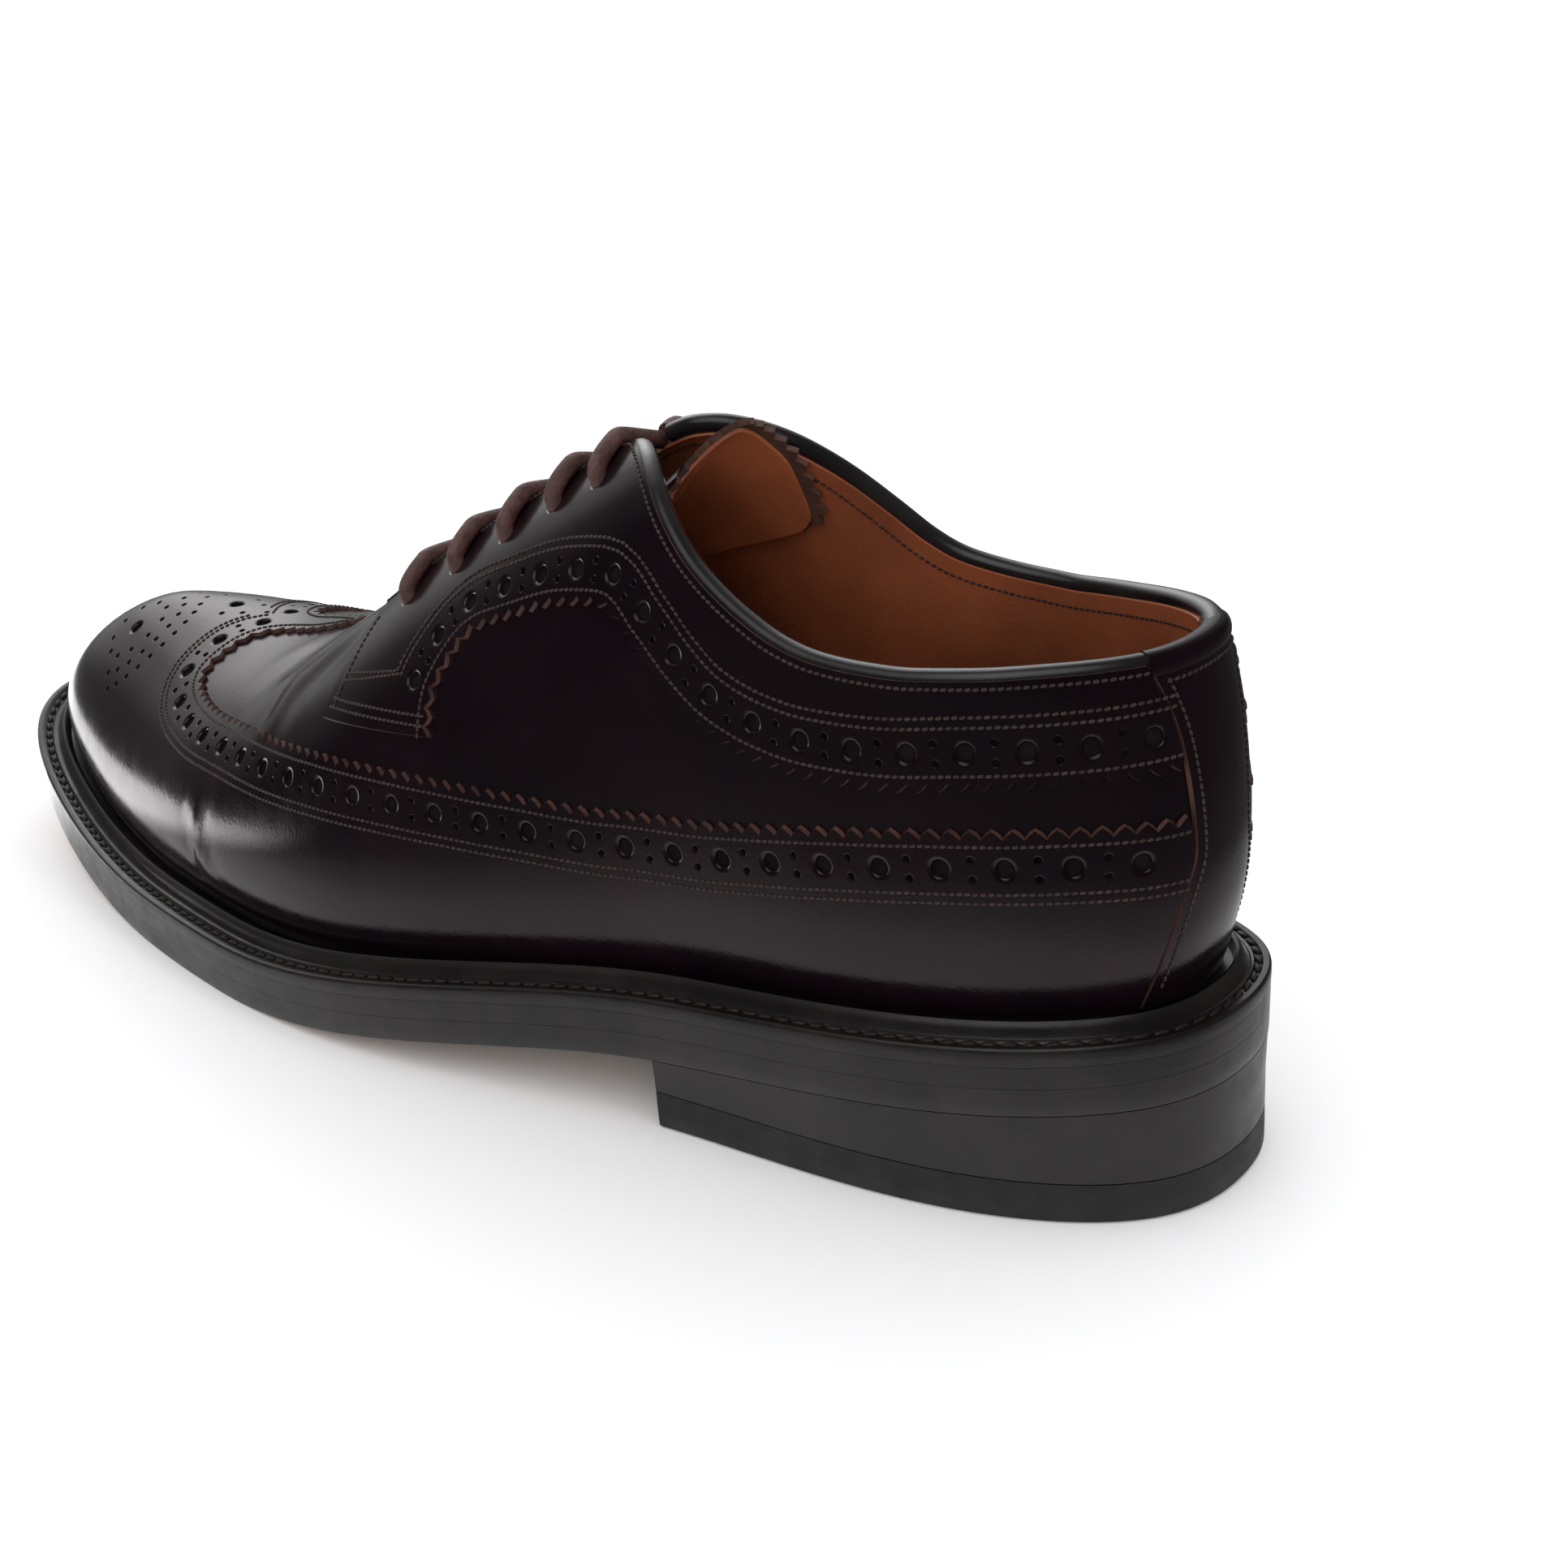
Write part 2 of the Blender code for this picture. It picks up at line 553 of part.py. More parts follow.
def frame_shift():
    """Centre of the sole, which is the part's origin."""
    edge = edge_points(np.linspace(0, 2, OUTLINE_SAMPLES), 0.0)
    return (edge.min(axis=0) + edge.max(axis=0)) / 2


SHIFT = frame_shift()


def solid(name, colour, points, polygons):
    """A named mesh object from points in millimetres and polygons."""
    points = np.array(points, dtype=float)
    points[:, :2] -= SHIFT
    mesh = bpy.data.meshes.new(name)
    mesh.from_pydata([tuple(p) for p in points * MM], [], [tuple(int(i) for i in f) for f in polygons])
    shaped = bmesh.new()
    shaped.from_mesh(mesh)
    bmesh.ops.recalc_face_normals(shaped, faces=shaped.faces)
    shaped.to_mesh(mesh)
    shaped.free()
    mesh.materials.append(material(colour))
    item = bpy.data.objects.new(name, mesh)
    bpy.context.scene.collection.objects.link(item)
    for polygon in mesh.polygons:
        polygon.use_smooth = True
    mesh.set_sharp_from_angle(angle=math.radians(SHARP_ANGLE))
    return item


def sole_turns(last_y):
    """Turns round the sole edge from the heel's back, lateral and medial in pairs at the same y."""
    dense = np.linspace(0, 1, OUTLINE_SAMPLES)
    lateral_y = edge_points(dense, 0.0)[:, 1]
    medial_y = edge_points(2 - dense, 0.0)[:, 1]
    share = np.linspace(0, math.pi, SOLE_LEVELS + 1)
    levels = lateral_y.min() + (lateral_y.max() - lateral_y.min()) * (1 - np.cos(share)) / 2
    if last_y is not None:
        levels = np.append(levels[levels < last_y - 1.0], last_y)
    low, high = np.argmin(lateral_y), np.argmax(lateral_y)
    lateral = np.interp(levels, lateral_y[low:high + 1], dense[low:high + 1])
    low, high = np.argmin(medial_y), np.argmax(medial_y)
    medial = 2 - np.interp(levels, medial_y[low:high + 1], dense[low:high + 1])
    if last_y is not None:
        return np.concatenate([lateral, medial[:0:-1]])
    return np.concatenate([lateral, medial[-2:0:-1]])


def layer_loops(turns, profile, heights):
    """Loops of a layer, one for each profile row; heights gives z from a row's height and the edge's y."""
    loops = []
    for inset, height in profile:
        y = edge_points(turns, 0.0)[:, 1]
        scale = HEEL_INSET_SCALE + (1 - HEEL_INSET_SCALE) * heel_to_fore(y)
        point = edge_points(turns, inset * scale)
        loops.append(np.column_stack([point, heights(height, point[:, 1])]))
    return loops


def stack_faces(loop_count, size, closed):
    """Quads between loops that follow each other, and round to the first loop if closed."""
    faces = []
    rounds = loop_count if closed else loop_count - 1
    for k in range(rounds):
        for i in range(size):
            j = (i + 1) % size
            after = (k + 1) % loop_count
            faces.append((k * size + i, k * size + j, after * size + j, after * size + i))
    return faces


def cap_faces(first, size):
    """Faces across a loop that starts at the heel's back and whose other points pair up."""
    faces = [(first, first + 1, first + size - 1)]
    near, far = 1, size - 1
    while far - near > 2:
        faces.append((first + near, first + near + 1, first + far - 1, first + far))
        near, far = near + 1, far - 1
    if far - near == 2:
        faces.append((first + near, first + near + 1, first + far))
    return faces


def plate(name, colour, profile, heights, last_y):
    """A layer of the sole with two faces and a shaped side."""
    turns = sole_turns(last_y)
    loops = layer_loops(turns, profile, heights)
    size = len(turns)
    faces = stack_faces(len(loops), size, False)
    faces += cap_faces(0, size) + cap_faces((len(loops) - 1) * size, size)
    return solid(name, colour, np.concatenate(loops), faces)


def over_sole(height, y):
    return sole_bottom(y) + height


def over_lift(share, y):
    """Height inside the heel stack, from the top lift to the heel seat."""
    base = TOP_LIFT_THICKNESS + LIFT_SEAM
    return base + (sole_bottom(np.minimum(y, BREAST_Y)) - LIFT_SEAM - base) * share


def on_floor(share, y):
    return np.full(len(y), TOP_LIFT_THICKNESS * share)


def build_welt():
    turns = sole_turns(None)
    loops = layer_loops(turns, WELT_PROFILE, over_sole)
    faces = stack_faces(len(loops), len(turns), True)
    return solid("storm_welt", "edge", np.concatenate(loops), faces)


def build_sole():
    plate("outsole", "edge", OUTSOLE_PROFILE, over_sole, None)
    plate("midsole", "edge", MIDSOLE_PROFILE, over_sole, None)
    plate("insole", "lining", INSOLE_PROFILE, over_sole, None)
    plate("heel_stack", "edge", HEEL_PROFILE, over_lift, BREAST_Y)
    plate("top_lift", "rubber", LIFT_PROFILE, on_floor, BREAST_Y)
    build_welt()


def edge_rise(table, station):
    """Rise of a collar and lace edge at a station."""
    return np.interp(station, *np.array(table).T)


def eyelet_holes(table):
    """Chart rings of the lace holes under a lace edge."""
    rings = []
    for station in EYELET_STATIONS:
        rise = edge_rise(table, station) - EYELET_BELOW_EDGE
        angles = np.linspace(0, 2 * math.pi, EYELET_SIDES, endpoint=False)
        ring = np.column_stack([np.cos(angles), np.sin(angles)]) * EYELET_RADIUS
        rings.append(ring + np.array([station, rise]))
    return rings


def build_upper():
    """The hollow wall, open at the collar, the throat and underneath."""
    edge = chart_curve(TOP_EDGE, EDGE_SPACING)
    fan_y = LAST.ridge_y.max()
    climb = np.linspace(0.0, edge[0, 1], HEEL_SEAM_STEPS + 1)
    seam = np.column_stack([np.zeros(len(climb)), climb])
    far_edge = LAST.mirrored(chart_curve(MEDIAL_TOP_EDGE, EDGE_SPACING))
    far_seam = np.column_stack([np.full(len(climb), LAST.length), climb])
    ridge = ridge_line(THROAT_Y, fan_y, False)
    far_ridge = ridge_line(THROAT_Y, fan_y, True)
    loop = joined([
        feather_line(0.0, LAST.length), far_seam, far_edge[::-1], straight(far_edge[0], far_ridge[0]),
        far_ridge, ridge[::-1], straight(ridge[0], edge[-1]), edge[::-1], seam[::-1],
    ])
    holes = eyelet_holes(TOP_EDGE)
    holes += [LAST.mirrored(ring) for ring in eyelet_holes(MEDIAL_TOP_EDGE)]
    shell("upper", "leather", [(loop, holes)], WALL_INNER, WALL_OUTER)


def clip_to_strap(line):
    """The part of a lateral line in front of the back strap."""
    strap = np.array(STRAP_EDGE)
    limit = np.interp(line[:, 1], strap[:, 1], strap[:, 0]) + STRAP_GAP
    return line[line[:, 0] > limit]


def strap_front(low, high):
    """Front edge of the strap between two rises, set forward by the gap."""
    edge = chart_curve(STRAP_EDGE, EDGE_SPACING)
    edge = edge[(edge[:, 1] > low) & (edge[:, 1] < high)]
    return edge + np.array([STRAP_GAP, 0.0])


def facing_loop(table):
    """Chart loop of a collar and lace piece under a top edge."""
    top = clip_to_strap(chart_curve(table, EDGE_SPACING))
    lower = clip_to_strap(chart_curve(FACING_LOWER_EDGE, EDGE_SPACING))
    strap = strap_front(lower[-1, 1] + STRAP_JOIN, top[0, 1] - STRAP_JOIN)
    return joined([top, straight(top[-1], lower[0]), lower, strap])


def build_facings():
    """Collar and lace pieces with their tabs."""
    near = [(facing_loop(TOP_EDGE), eyelet_holes(TOP_EDGE))]
    shell("facing_lateral", "leather", near, OVERLAY_INNER, OVERLAY_OUTER)
    holes = [LAST.mirrored(ring) for ring in eyelet_holes(MEDIAL_TOP_EDGE)]
    far = [(LAST.mirrored(facing_loop(MEDIAL_TOP_EDGE)), holes)]
    shell("facing_medial", "leather", far, OVERLAY_INNER, OVERLAY_OUTER)


def build_wing():
    """The long wing cap, from strap to strap round the toe, with its beak on the ridge."""
    edge = clip_to_strap(chart_curve(WING_EDGE, EDGE_SPACING))
    strap = strap_front(STRAP_JOIN, edge[0, 1] - STRAP_JOIN)
    foot = STRAP_EDGE[0][0] + STRAP_GAP
    far = float(LAST.medial_station(np.array([foot]))[0])
    fan_y = LAST.ridge_y.max()
    loop = joined([
        feather_line(foot, far), LAST.mirrored(strap)[::-1], LAST.mirrored(edge)[::-1],
        ridge_line(BEAK_Y, fan_y, True), ridge_line(fan_y, BEAK_Y, False), edge[::-1], strap[::-1],
    ])
    shell("wing_cap", "leather", [(loop, [])], OVERLAY_INNER, OVERLAY_OUTER)


def build_back_strap():
    """The waisted strap over the heel seam."""
    near = chart_curve(STRAP_EDGE, EDGE_SPACING)
    far = LAST.mirrored(near) - np.array([LAST.length, 0.0])
    top = np.linspace(near[-1], far[0], STRAP_STEPS)
    foot = np.linspace(far[-1], near[0], STRAP_STEPS)
    shell("back_strap", "leather", [(joined([near, top, far, foot]), [])], OVERLAY_INNER, OVERLAY_OUTER)


def tongue_sink(charts):
    """Depth of the tongue under the last, which it crosses flatter than the facings do."""
    y = np.interp(np.mod(charts[:, 0], LAST.length), LAST.stations, LAST.ridge_y)
    away = LAST.top_rise(charts[:, 0]) - charts[:, 1]
    return table_curve(TONGUE_SINK, 1, y) * np.exp(-(away / TONGUE_SINK_REACH) ** 2)


def tongue_half(table, medial):
    """Chart loop of one half of the tongue, from the ridge down to its side edge."""
    y, away = np.array(table).T
    station = LAST.ridge_station(y, medial)
    side = chart_curve(np.column_stack([station, LAST.top_rise(station) - away]), TONGUE_SPACING)
    ridge = ridge_line(y[-1], y[0], medial)
    return joined([ridge, straight(ridge[-1], side[0]), side])


def build_tongue():
    halves = [(tongue_half(TONGUE_LATERAL, False), []), (tongue_half(TONGUE_MEDIAL, True), [])]
    shell("tongue", "leather", halves, TONGUE_INNER, TONGUE_OUTER, tongue_sink)


def tube(name, colour, path, radius, sides):
    """A round bar along a path, closed at both ends."""
    path = np.array(path)
    along = np.gradient(path, axis=0)
    along /= np.linalg.norm(along, axis=1)[:, None]
    across = np.cross(along, np.array([0.0, 0.0, 1.0]))
    across /= np.linalg.norm(across, axis=1)[:, None]
    up = np.cross(across, along)
    angles = np.linspace(0, 2 * math.pi, sides, endpoint=False)
    rings = [p + radius * (np.cos(angles)[:, None] * a + np.sin(angles)[:, None] * u)
             for p, a, u in zip(path, across, up)]
    faces = stack_faces(len(rings), sides, False)
    faces.append(tuple(range(sides)))
    faces.append(tuple((len(rings) - 1) * sides + i for i in range(sides)))
    return solid(name, colour, np.concatenate(rings), faces)


def build_binding():
    """The bead along the collar, from the lateral lace edge round the heel to the medial one."""
    near, far = [chart_curve(table, EDGE_SPACING) for table in (TOP_EDGE, MEDIAL_TOP_EDGE)]
    near, far = [edge[edge[:, 0] < EYELET_STATIONS[0] - BINDING_STOP] for edge in (near, far)]
    line = np.concatenate([near[::-1], LAST.mirrored(far)[::-1][1:] - np.array([LAST.length, 0.0])])
    middle = (OVERLAY_OUTER + WALL_INNER) / 2
    path = LAST.place(line[:, 0], line[:, 1] + BINDING_LIFT, middle)
    tube("collar_binding", "binding", path, BINDING_RADIUS, BINDING_SIDES)


def build_laces():
    """One bar for each pair of lace holes, lying on the facings and straight across the throat."""
    for number, station in enumerate(EYELET_STATIONS, start=1):
        ends = []
        for table in (TOP_EDGE, MEDIAL_TOP_EDGE):
            top = edge_rise(table, station)
            rises = np.linspace(top - EYELET_BELOW_EDGE, top, LACE_STEPS)
            ends.append(np.column_stack([np.full(LACE_STEPS, station), rises]))
        line = np.concatenate([ends[0], LAST.mirrored(ends[1])])
        path = LAST.place(line[:, 0], line[:, 1], LACE_LIFT)
        tube(f"lace_bar_{number}", "lace", path, LACE_RADIUS, LACE_SIDES)


def main():
    clear_scene()
    build_sole()
    build_upper()
    build_facings()
    build_wing()
    build_back_strap()
    build_tongue()
    build_binding()
    build_laces()


main()
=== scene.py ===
"""Dresses the solids of a left long wing brogue derby: leather panels, broguing, stitching, laces and stage.

The upper is worked on a chart of the last: a station in millimetres along the feather line (where the wall
meets the welt) from the heel's back round the lateral side, the toe and the medial side, and a rise in
millimetres up the wall.  Charts are in millimetres; meshes are in metres in the frame of the solids.
"""

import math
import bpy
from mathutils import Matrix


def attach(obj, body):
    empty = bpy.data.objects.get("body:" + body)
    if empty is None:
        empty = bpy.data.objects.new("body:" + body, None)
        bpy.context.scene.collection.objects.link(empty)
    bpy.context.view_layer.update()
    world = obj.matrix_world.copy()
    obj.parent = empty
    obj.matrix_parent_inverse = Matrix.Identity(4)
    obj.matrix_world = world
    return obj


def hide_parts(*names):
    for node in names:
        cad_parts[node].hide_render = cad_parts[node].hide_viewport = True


bl_info = {
    "name": "Long Wing Brogue Derby",
    "version": (1, 0, 0),
    "blender": (4, 5, 0),
    "location": "View3D > Sidebar > Shoe",
    "description": "Leather, broguing, stitching, laces and studio for a left brogue derby",
    "category": "Add Mesh",
}

import bmesh
import bpy
import numpy as np
from mathutils import Matrix, Vector
from mathutils.geometry import delaunay_2d_cdt

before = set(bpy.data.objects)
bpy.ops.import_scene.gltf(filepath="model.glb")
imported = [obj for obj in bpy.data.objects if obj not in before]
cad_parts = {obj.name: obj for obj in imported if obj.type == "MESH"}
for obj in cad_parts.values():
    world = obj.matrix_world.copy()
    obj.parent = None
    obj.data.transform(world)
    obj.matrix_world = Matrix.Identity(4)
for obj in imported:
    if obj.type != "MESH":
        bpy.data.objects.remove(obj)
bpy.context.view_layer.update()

MM = 0.001
BODY = "root"

# Sole sizes of the solids
BREAST_Y = 88.0
HEEL_SEAT_AT_BREAST = 13.0
HEEL_SEAT_AT_BACK = 20.5
TOP_LIFT_THICKNESS = 7.0
LIFT_SEAM = 0.04
FLAT_START_Y = 190.0
FLAT_END_Y = 222.0
TOE_SPRING = 17.0
WELT_TOP = 11.5
FEATHER_GAP = 0.6
WAIST_START_Y = 60.0
WAIST_LENGTH = 90.0
HEEL_INSET_SCALE = 0.8
FEATHER_INSET_HEEL = 7.5
FEATHER_INSET_FORE = 9.0
TOE_FAN_START_Y = 225.0
HEEL_FAN_START_Y = 75.0
HEEL_MATCH_START = 10.0
HEEL_MATCH_LENGTH = 40.0

HEEL_BACK = (-1.0, 0.0)
TOE_TIP = (6.5, 305.5)
# Sole edge, columns: x, y
LATERAL_EDGE = [
    (-17.5, 5.0), (-31.5, 27.0), (-37.5, 58.0), (-40.0, 90.0), (-45.5, 122.0),
    (-50.5, 162.0), (-46.5, 204.0), (-39.0, 237.0), (-28.5, 269.0), (-12.5, 297.5),
]
MEDIAL_EDGE = [
    (16.0, 6.0), (28.5, 30.0), (29.5, 58.0), (26.0, 88.0), (27.5, 116.0),
    (38.5, 146.0), (52.0, 178.0), (57.0, 210.0), (54.0, 243.0), (44.0, 274.5), (26.5, 298.5),
]
# Ridge of the last, columns: y, z, x
RIDGE = [
    (40.0, 125.0, -3.5), (90.0, 116.0, -4.0), (120.0, 103.5, -1.0), (150.0, 89.0, 3.0),
    (180.0, 69.5, 5.0), (205.0, 57.0, 6.5), (230.0, 53.5, 7.5), (250.0, 54.0, 8.0), (264.0, 53.5, 8.0),
]
# Wall sections, columns: y of the feather, bulge, height of the bulge, fullness of the shoulder
LATERAL_WALL = [
    (7.0, 4.2, 25.5, 0.55), (30.0, 3.7, 25.5, 0.57), (60.0, 3.0, 22.0, 0.64), (110.0, 2.0, 18.0, 0.55),
    (160.0, 2.5, 14.0, 0.52), (205.0, 3.0, 12.0, 0.55), (250.0, 2.0, 8.0, 0.46), (297.0, 1.0, 6.0, 0.40),
]
MEDIAL_WALL = [
    (7.0, 4.2, 25.5, 0.55), (30.0, 4.0, 25.5, 0.53), (60.0, 2.5, 24.0, 0.60), (110.0, 0.5, 28.0, 0.52),
    (160.0, 1.5, 20.0, 0.52), (205.0, 2.5, 14.0, 0.58), (250.0, 2.0, 8.0, 0.46), (297.0, 1.0, 6.0, 0.40),
]
# Collar and lace edge of the lateral side, columns: station, rise
TOP_EDGE = [
    (0.0, 55.4), (14.0, 55.6), (25.0, 55.6), (36.0, 55.4), (46.0, 55.4), (54.0, 56.0), (62.0, 57.2),
    (69.0, 59.3), (76.0, 62.6), (83.0, 66.7), (89.0, 71.0), (95.0, 76.6), (101.0, 83.3), (107.0, 89.5),
    (112.5, 93.2), (117.0, 93.8), (122.5, 92.1), (136.0, 87.0), (150.0, 82.0), (163.0, 77.0), (174.0, 72.0),
]
# The same edge of the medial side, which reaches nearer to the ridge, as seen from the lateral side
MEDIAL_TOP_EDGE = [
    (0.0, 55.4), (14.0, 55.6), (25.0, 55.2), (36.0, 54.8), (46.0, 55.0), (54.0, 56.2), (62.0, 58.2),
    (69.0, 61.0), (74.0, 64.8), (79.0, 70.4), (86.5, 79.2), (94.0, 86.7), (100.0, 91.3), (106.0, 95.2),
    (111.0, 97.0), (116.0, 96.6), (122.5, 95.2), (136.0, 93.5), (150.0, 91.0), (163.0, 87.5), (174.0, 83.0),
]
THROAT_Y = 172.0
# Gimped lower edge of the facing from the tab's back corner to the strap, columns: station, rise
FACING_EDGE = [
    (142.5, 42.6), (143.0, 49.4), (140.5, 56.1), (136.0, 60.6), (128.0, 62.2), (116.0, 63.8),
    (106.5, 63.4), (99.0, 57.7), (91.0, 50.6), (83.5, 45.4), (73.0, 41.4), (63.0, 39.5),
    (50.0, 38.8), (37.0, 39.3), (8.0, 39.6),
]
TAB_FRONT = (174.0, 45.9)
# Gimped upper edge of the wing: forward from the strap to its nose, back to the beak, columns: station, rise
WING_EDGE = [
    (9.0, 32.6), (27.0, 33.4), (40.0, 33.3), (56.0, 32.4), (74.0, 30.8), (88.0, 29.8), (104.0, 30.0),
    (126.0, 32.8), (141.0, 35.3), (158.0, 37.8), (177.0, 39.7), (203.0, 40.7), (217.0, 40.6),
    (229.0, 41.6), (235.5, 43.8), (238.0, 47.4), (237.5, 54.0), (235.0, 60.4), (229.5, 64.7), (221.0, 68.0),
    (213.0, 72.4),
]
BEAK_Y = 200.0
# Front edge of the back strap, columns: station, rise
STRAP_EDGE = [
    (13.5, 1.0), (9.5, 19.5), (7.5, 27.0), (8.0, 36.0), (9.0, 45.0), (10.2, 50.0), (12.0, 55.2),
]
STRAP_GAP = 0.5
EYELET_STATIONS = [115.5, 126.0, 137.0, 149.0, 161.5]
EYELET_BELOW_EDGE = 8.3
# Edges of the tongue from its front to the middle of its top, columns: y, distance from the ridge
TONGUE_LATERAL = [
    (186.0, 17.0), (150.0, 23.0), (120.0, 29.0), (106.0, 31.6), (100.0, 32.0), (97.0, 30.6), (95.6, 27.0),
    (94.8, 20.0), (93.8, 9.0), (91.8, 4.5), (88.6, 0.0),
]
TONGUE_MEDIAL = [
    (186.0, 17.0), (150.0, 23.0), (118.0, 29.0), (98.0, 32.0), (90.0, 33.0), (85.5, 32.6), (83.8, 30.4),
    (84.2, 24.0), (84.6, 18.3), (85.9, 13.5), (87.6, 6.0), (88.6, 0.0),
]
TONGUE_GIMP_Y = 104.0
TONGUE_PATCH_FRONT_Y = 150.0
TONGUE_PATCH_MARGIN = 2.6
TONGUE_PATCH_WIDTH = 0.985
# How far the tongue's middle lies under the last, columns: y, depth
TONGUE_SINK = [
    (80.0, 0.0), (90.0, 0.4), (104.0, 5.0), (116.0, 8.0), (130.0, 6.0), (146.0, 2.5), (165.0, 0.0),
    (186.0, 0.0),
]
TONGUE_SINK_REACH = 20.0

# Layers of the upper, offsets from the last's outer form
OVERLAY_BACK = -0.8
WALL_FRONT = -0.85
WALL_BACK = -3.5
LINING_FRONT = -3.55
LINING_BACK = -4.05
TONGUE_FRONT = -4.25
TONGUE_BACK = -5.3
TONGUE_LINING_FRONT = -5.35
TONGUE_LINING_BACK = -6.0

# Walking creases, columns: station, rise, direction in degrees, half length, half width, height
CREASES = [
    (187.0, 62.0, -48.0, 13.0, 3.4, 0.75),
    (195.0, 47.0, -88.0, 7.5, 3.0, 0.45),
    (206.0, 62.0, -70.0, 11.0, 4.0, -0.45),
    (211.0, 15.0, -108.0, 7.0, 2.6, 0.3),
]
CREASE_TROUGH_SHARE = 0.7

# Side profiles of the sole's layers, columns: inset from the sole edge, height over the sole's bottom
OUTSOLE_PROFILE = [(2.4, 0.0), (1.2, 0.0), (0.5, 0.06), (0.34, 0.4), (0.28, 2.4), (0.22, 4.72), (1.2, 4.74)]
MIDSOLE_PROFILE = [(1.2, 4.76), (0.21, 4.78), (0.15, 6.6), (0.12, 8.46), (1.2, 8.48)]
WELT_PROFILE = [
    (1.2, 8.5), (0.11, 8.52), (0.03, 9.4), (0.0, 10.8), (0.15, 11.25), (0.5, 11.5), (1.6, 11.5), (1.9, 11.2),
    (3.1, 11.2), (3.4, 11.5), (3.8, 11.35), (4.2, 11.5), (4.6, 11.35), (4.9, 11.7), (5.2, 12.6), (5.6, 13.35),
    (6.2, 13.75), (6.8, 13.5), (7.1, 12.8), (7.3, 11.6), (14.0, 11.5), (14.0, 8.6),
]
INSOLE_PROFILE = [(15.0, 8.9), (12.6, 11.8), (12.4, 14.6), (13.6, 14.9), (16.5, 14.5), (22.0, 14.2)]
# Side profiles of the heel, columns: inset from the sole edge, share of the height
HEEL_PROFILE = [(1.8, 0.0), (0.85, 0.005), (0.82, 0.5), (0.5, 0.995), (1.8, 1.0)]
LIFT_PROFILE = [(2.2, 0.0), (1.4, 0.02), (0.9, 0.1), (0.82, 0.5), (0.86, 0.985), (1.8, 1.0)]

# Brogue medallion on the toe, millimetres across the ridge and along it
MEDALLION_AXIS_X = 8.0
MEDALLION_BIG = [(0.0, 244.6), (-12.6, 266.2)]
MEDALLION_LOOSE = [(-5.0, 243.6), (-2.9, 239.2), (0.0, 234.6), (0.0, 254.8), (0.0, 275.4), (0.0, 281.2)]
# Arcs of small holes round the side hole, columns: radius, first angle, last angle, holes
MEDALLION_ARCS = [(7.8, 0.0, 324.0, 10), (12.0, 178.0, 330.0, 9), (16.2, 190.0, 304.0, 10)]

GRID_STEP = 2.4
TINY = 1e-12
STRAIGHT_STEPS = 20
LOOP_STEP = 1.6
SHARP_ANGLE = 40.0
CURVE_SAMPLES = 400
OUTLINE_SAMPLES = 4001
SOLE_LEVELS = 120
SOLE_LEVEL_GAP = 1.0
EDGE_REACH = 0.9
HOLE_REACH = 0.6
WELD_REACH = 0.05
CREASE_SPREAD = 1.6
ASIDE_STEP = 2.0

# Material slots of a panel
FACE, CUT, PIT, BACK = range(4)
PIT_DEPTH = 0.4

# Depth shares of the points of one gimp tooth
GIMP_TOOTH = [0.0, 0.42, 1.0, 0.42]
# Rims of the punched holes, columns: added radius, depth
BIG_RIM = [(0.8, 0.0), (0.6, 0.04), (0.32, 0.15), (0.08, 0.32), (0.0, 0.5), (-0.05, 0.76)]
SMALL_RIM = [(0.28, 0.0), (0.1, 0.1), (0.0, 0.4), (-0.03, 0.76)]
EYELET_RIM = [(0.45, 0.0), (0.2, 0.08), (0.03, 0.3), (0.0, 0.5), (-0.02, 0.76)]
EYELET_RADIUS = 1.55
BIG_SIDES = 20
SMALL_SIDES = 10
PAIR_SPREAD = 1.5

# Distances of the rows from a gimped edge or a top edge
WING_ROWS = [2.4, 9.9, 11.4]
WING_HOLES = 6.0
FACING_ROWS = [2.4, 9.5, 11.0]
FACING_HOLES = 5.8
COLLAR_ROW = 1.1
LINING_ROW = 3.0
HOLE_START = 7.0
HOLE_END = 6.0
COLLAR_HOLE_END = 3.5
RIDGE_REACH = 0.4
# Tab of the facing: where the double row starts, as station and rise from the tab's front corner
TAB_ROWS = [(-3.0, 6.9), (-3.0, 8.4)]
TAB_ROW_RISES = [51.8, 53.3]
TAB_ROW_STATION = 135.0
TAB_HOLES_FROM = 51.4
TAB_FOOT_ROWS = [1.9, 3.6]
TAB_END = 2.0
FRONT_ROW = 3.0
FRONT_ROW_TOP = 66.0
STRAP_ROW = -1.6
STRAP_ROW_FOOT = 5.0
STRAP_ROW_TOP = 53.0

STITCH_FULLNESS = 0.7
STITCH_SLANT = 9.0
STITCH_SINK = 0.05
STITCH_SHARE = 0.86
STITCH_HEIGHT = 0.8
WELT_STITCH_INSET = 2.5
WELT_STITCH_HEIGHT = 11.3
WELT_STITCH_SHARE = 0.84

BEAD_OFFSET = -1.9
BEAD_END = 115.0
WRAP_OVER = 0.35
WRAP_THICKNESS = 0.5
WRAP_COLUMNS = 24
# First and last turn round the bead in degrees, and the rows between
WRAP_TURN = (-35.0, 215.0, 19)
LINING_FOOT = 2.0
LACE_DIP = [-1.2, -0.3, 0.9, 1.35]
LACE_LIFT = 1.5
# Distances up from a lace hole where the lace leaves it, for the dips
LACE_LEAVE = [-0.4, -0.1, 0.6, 2.2]
LACE_STEPS = 5
# Distance up from a lace hole where the lace lies on the facing
LACE_CLIMB = 4.0
CORD_RESOLUTION = 5

GRAIN_DEPTH = 0.0002
# Shares of the pores' scale in the fine lines, and of the pores' depth in the relief
LINE_SCALE = 0.35
PORE_DEPTH = 0.55
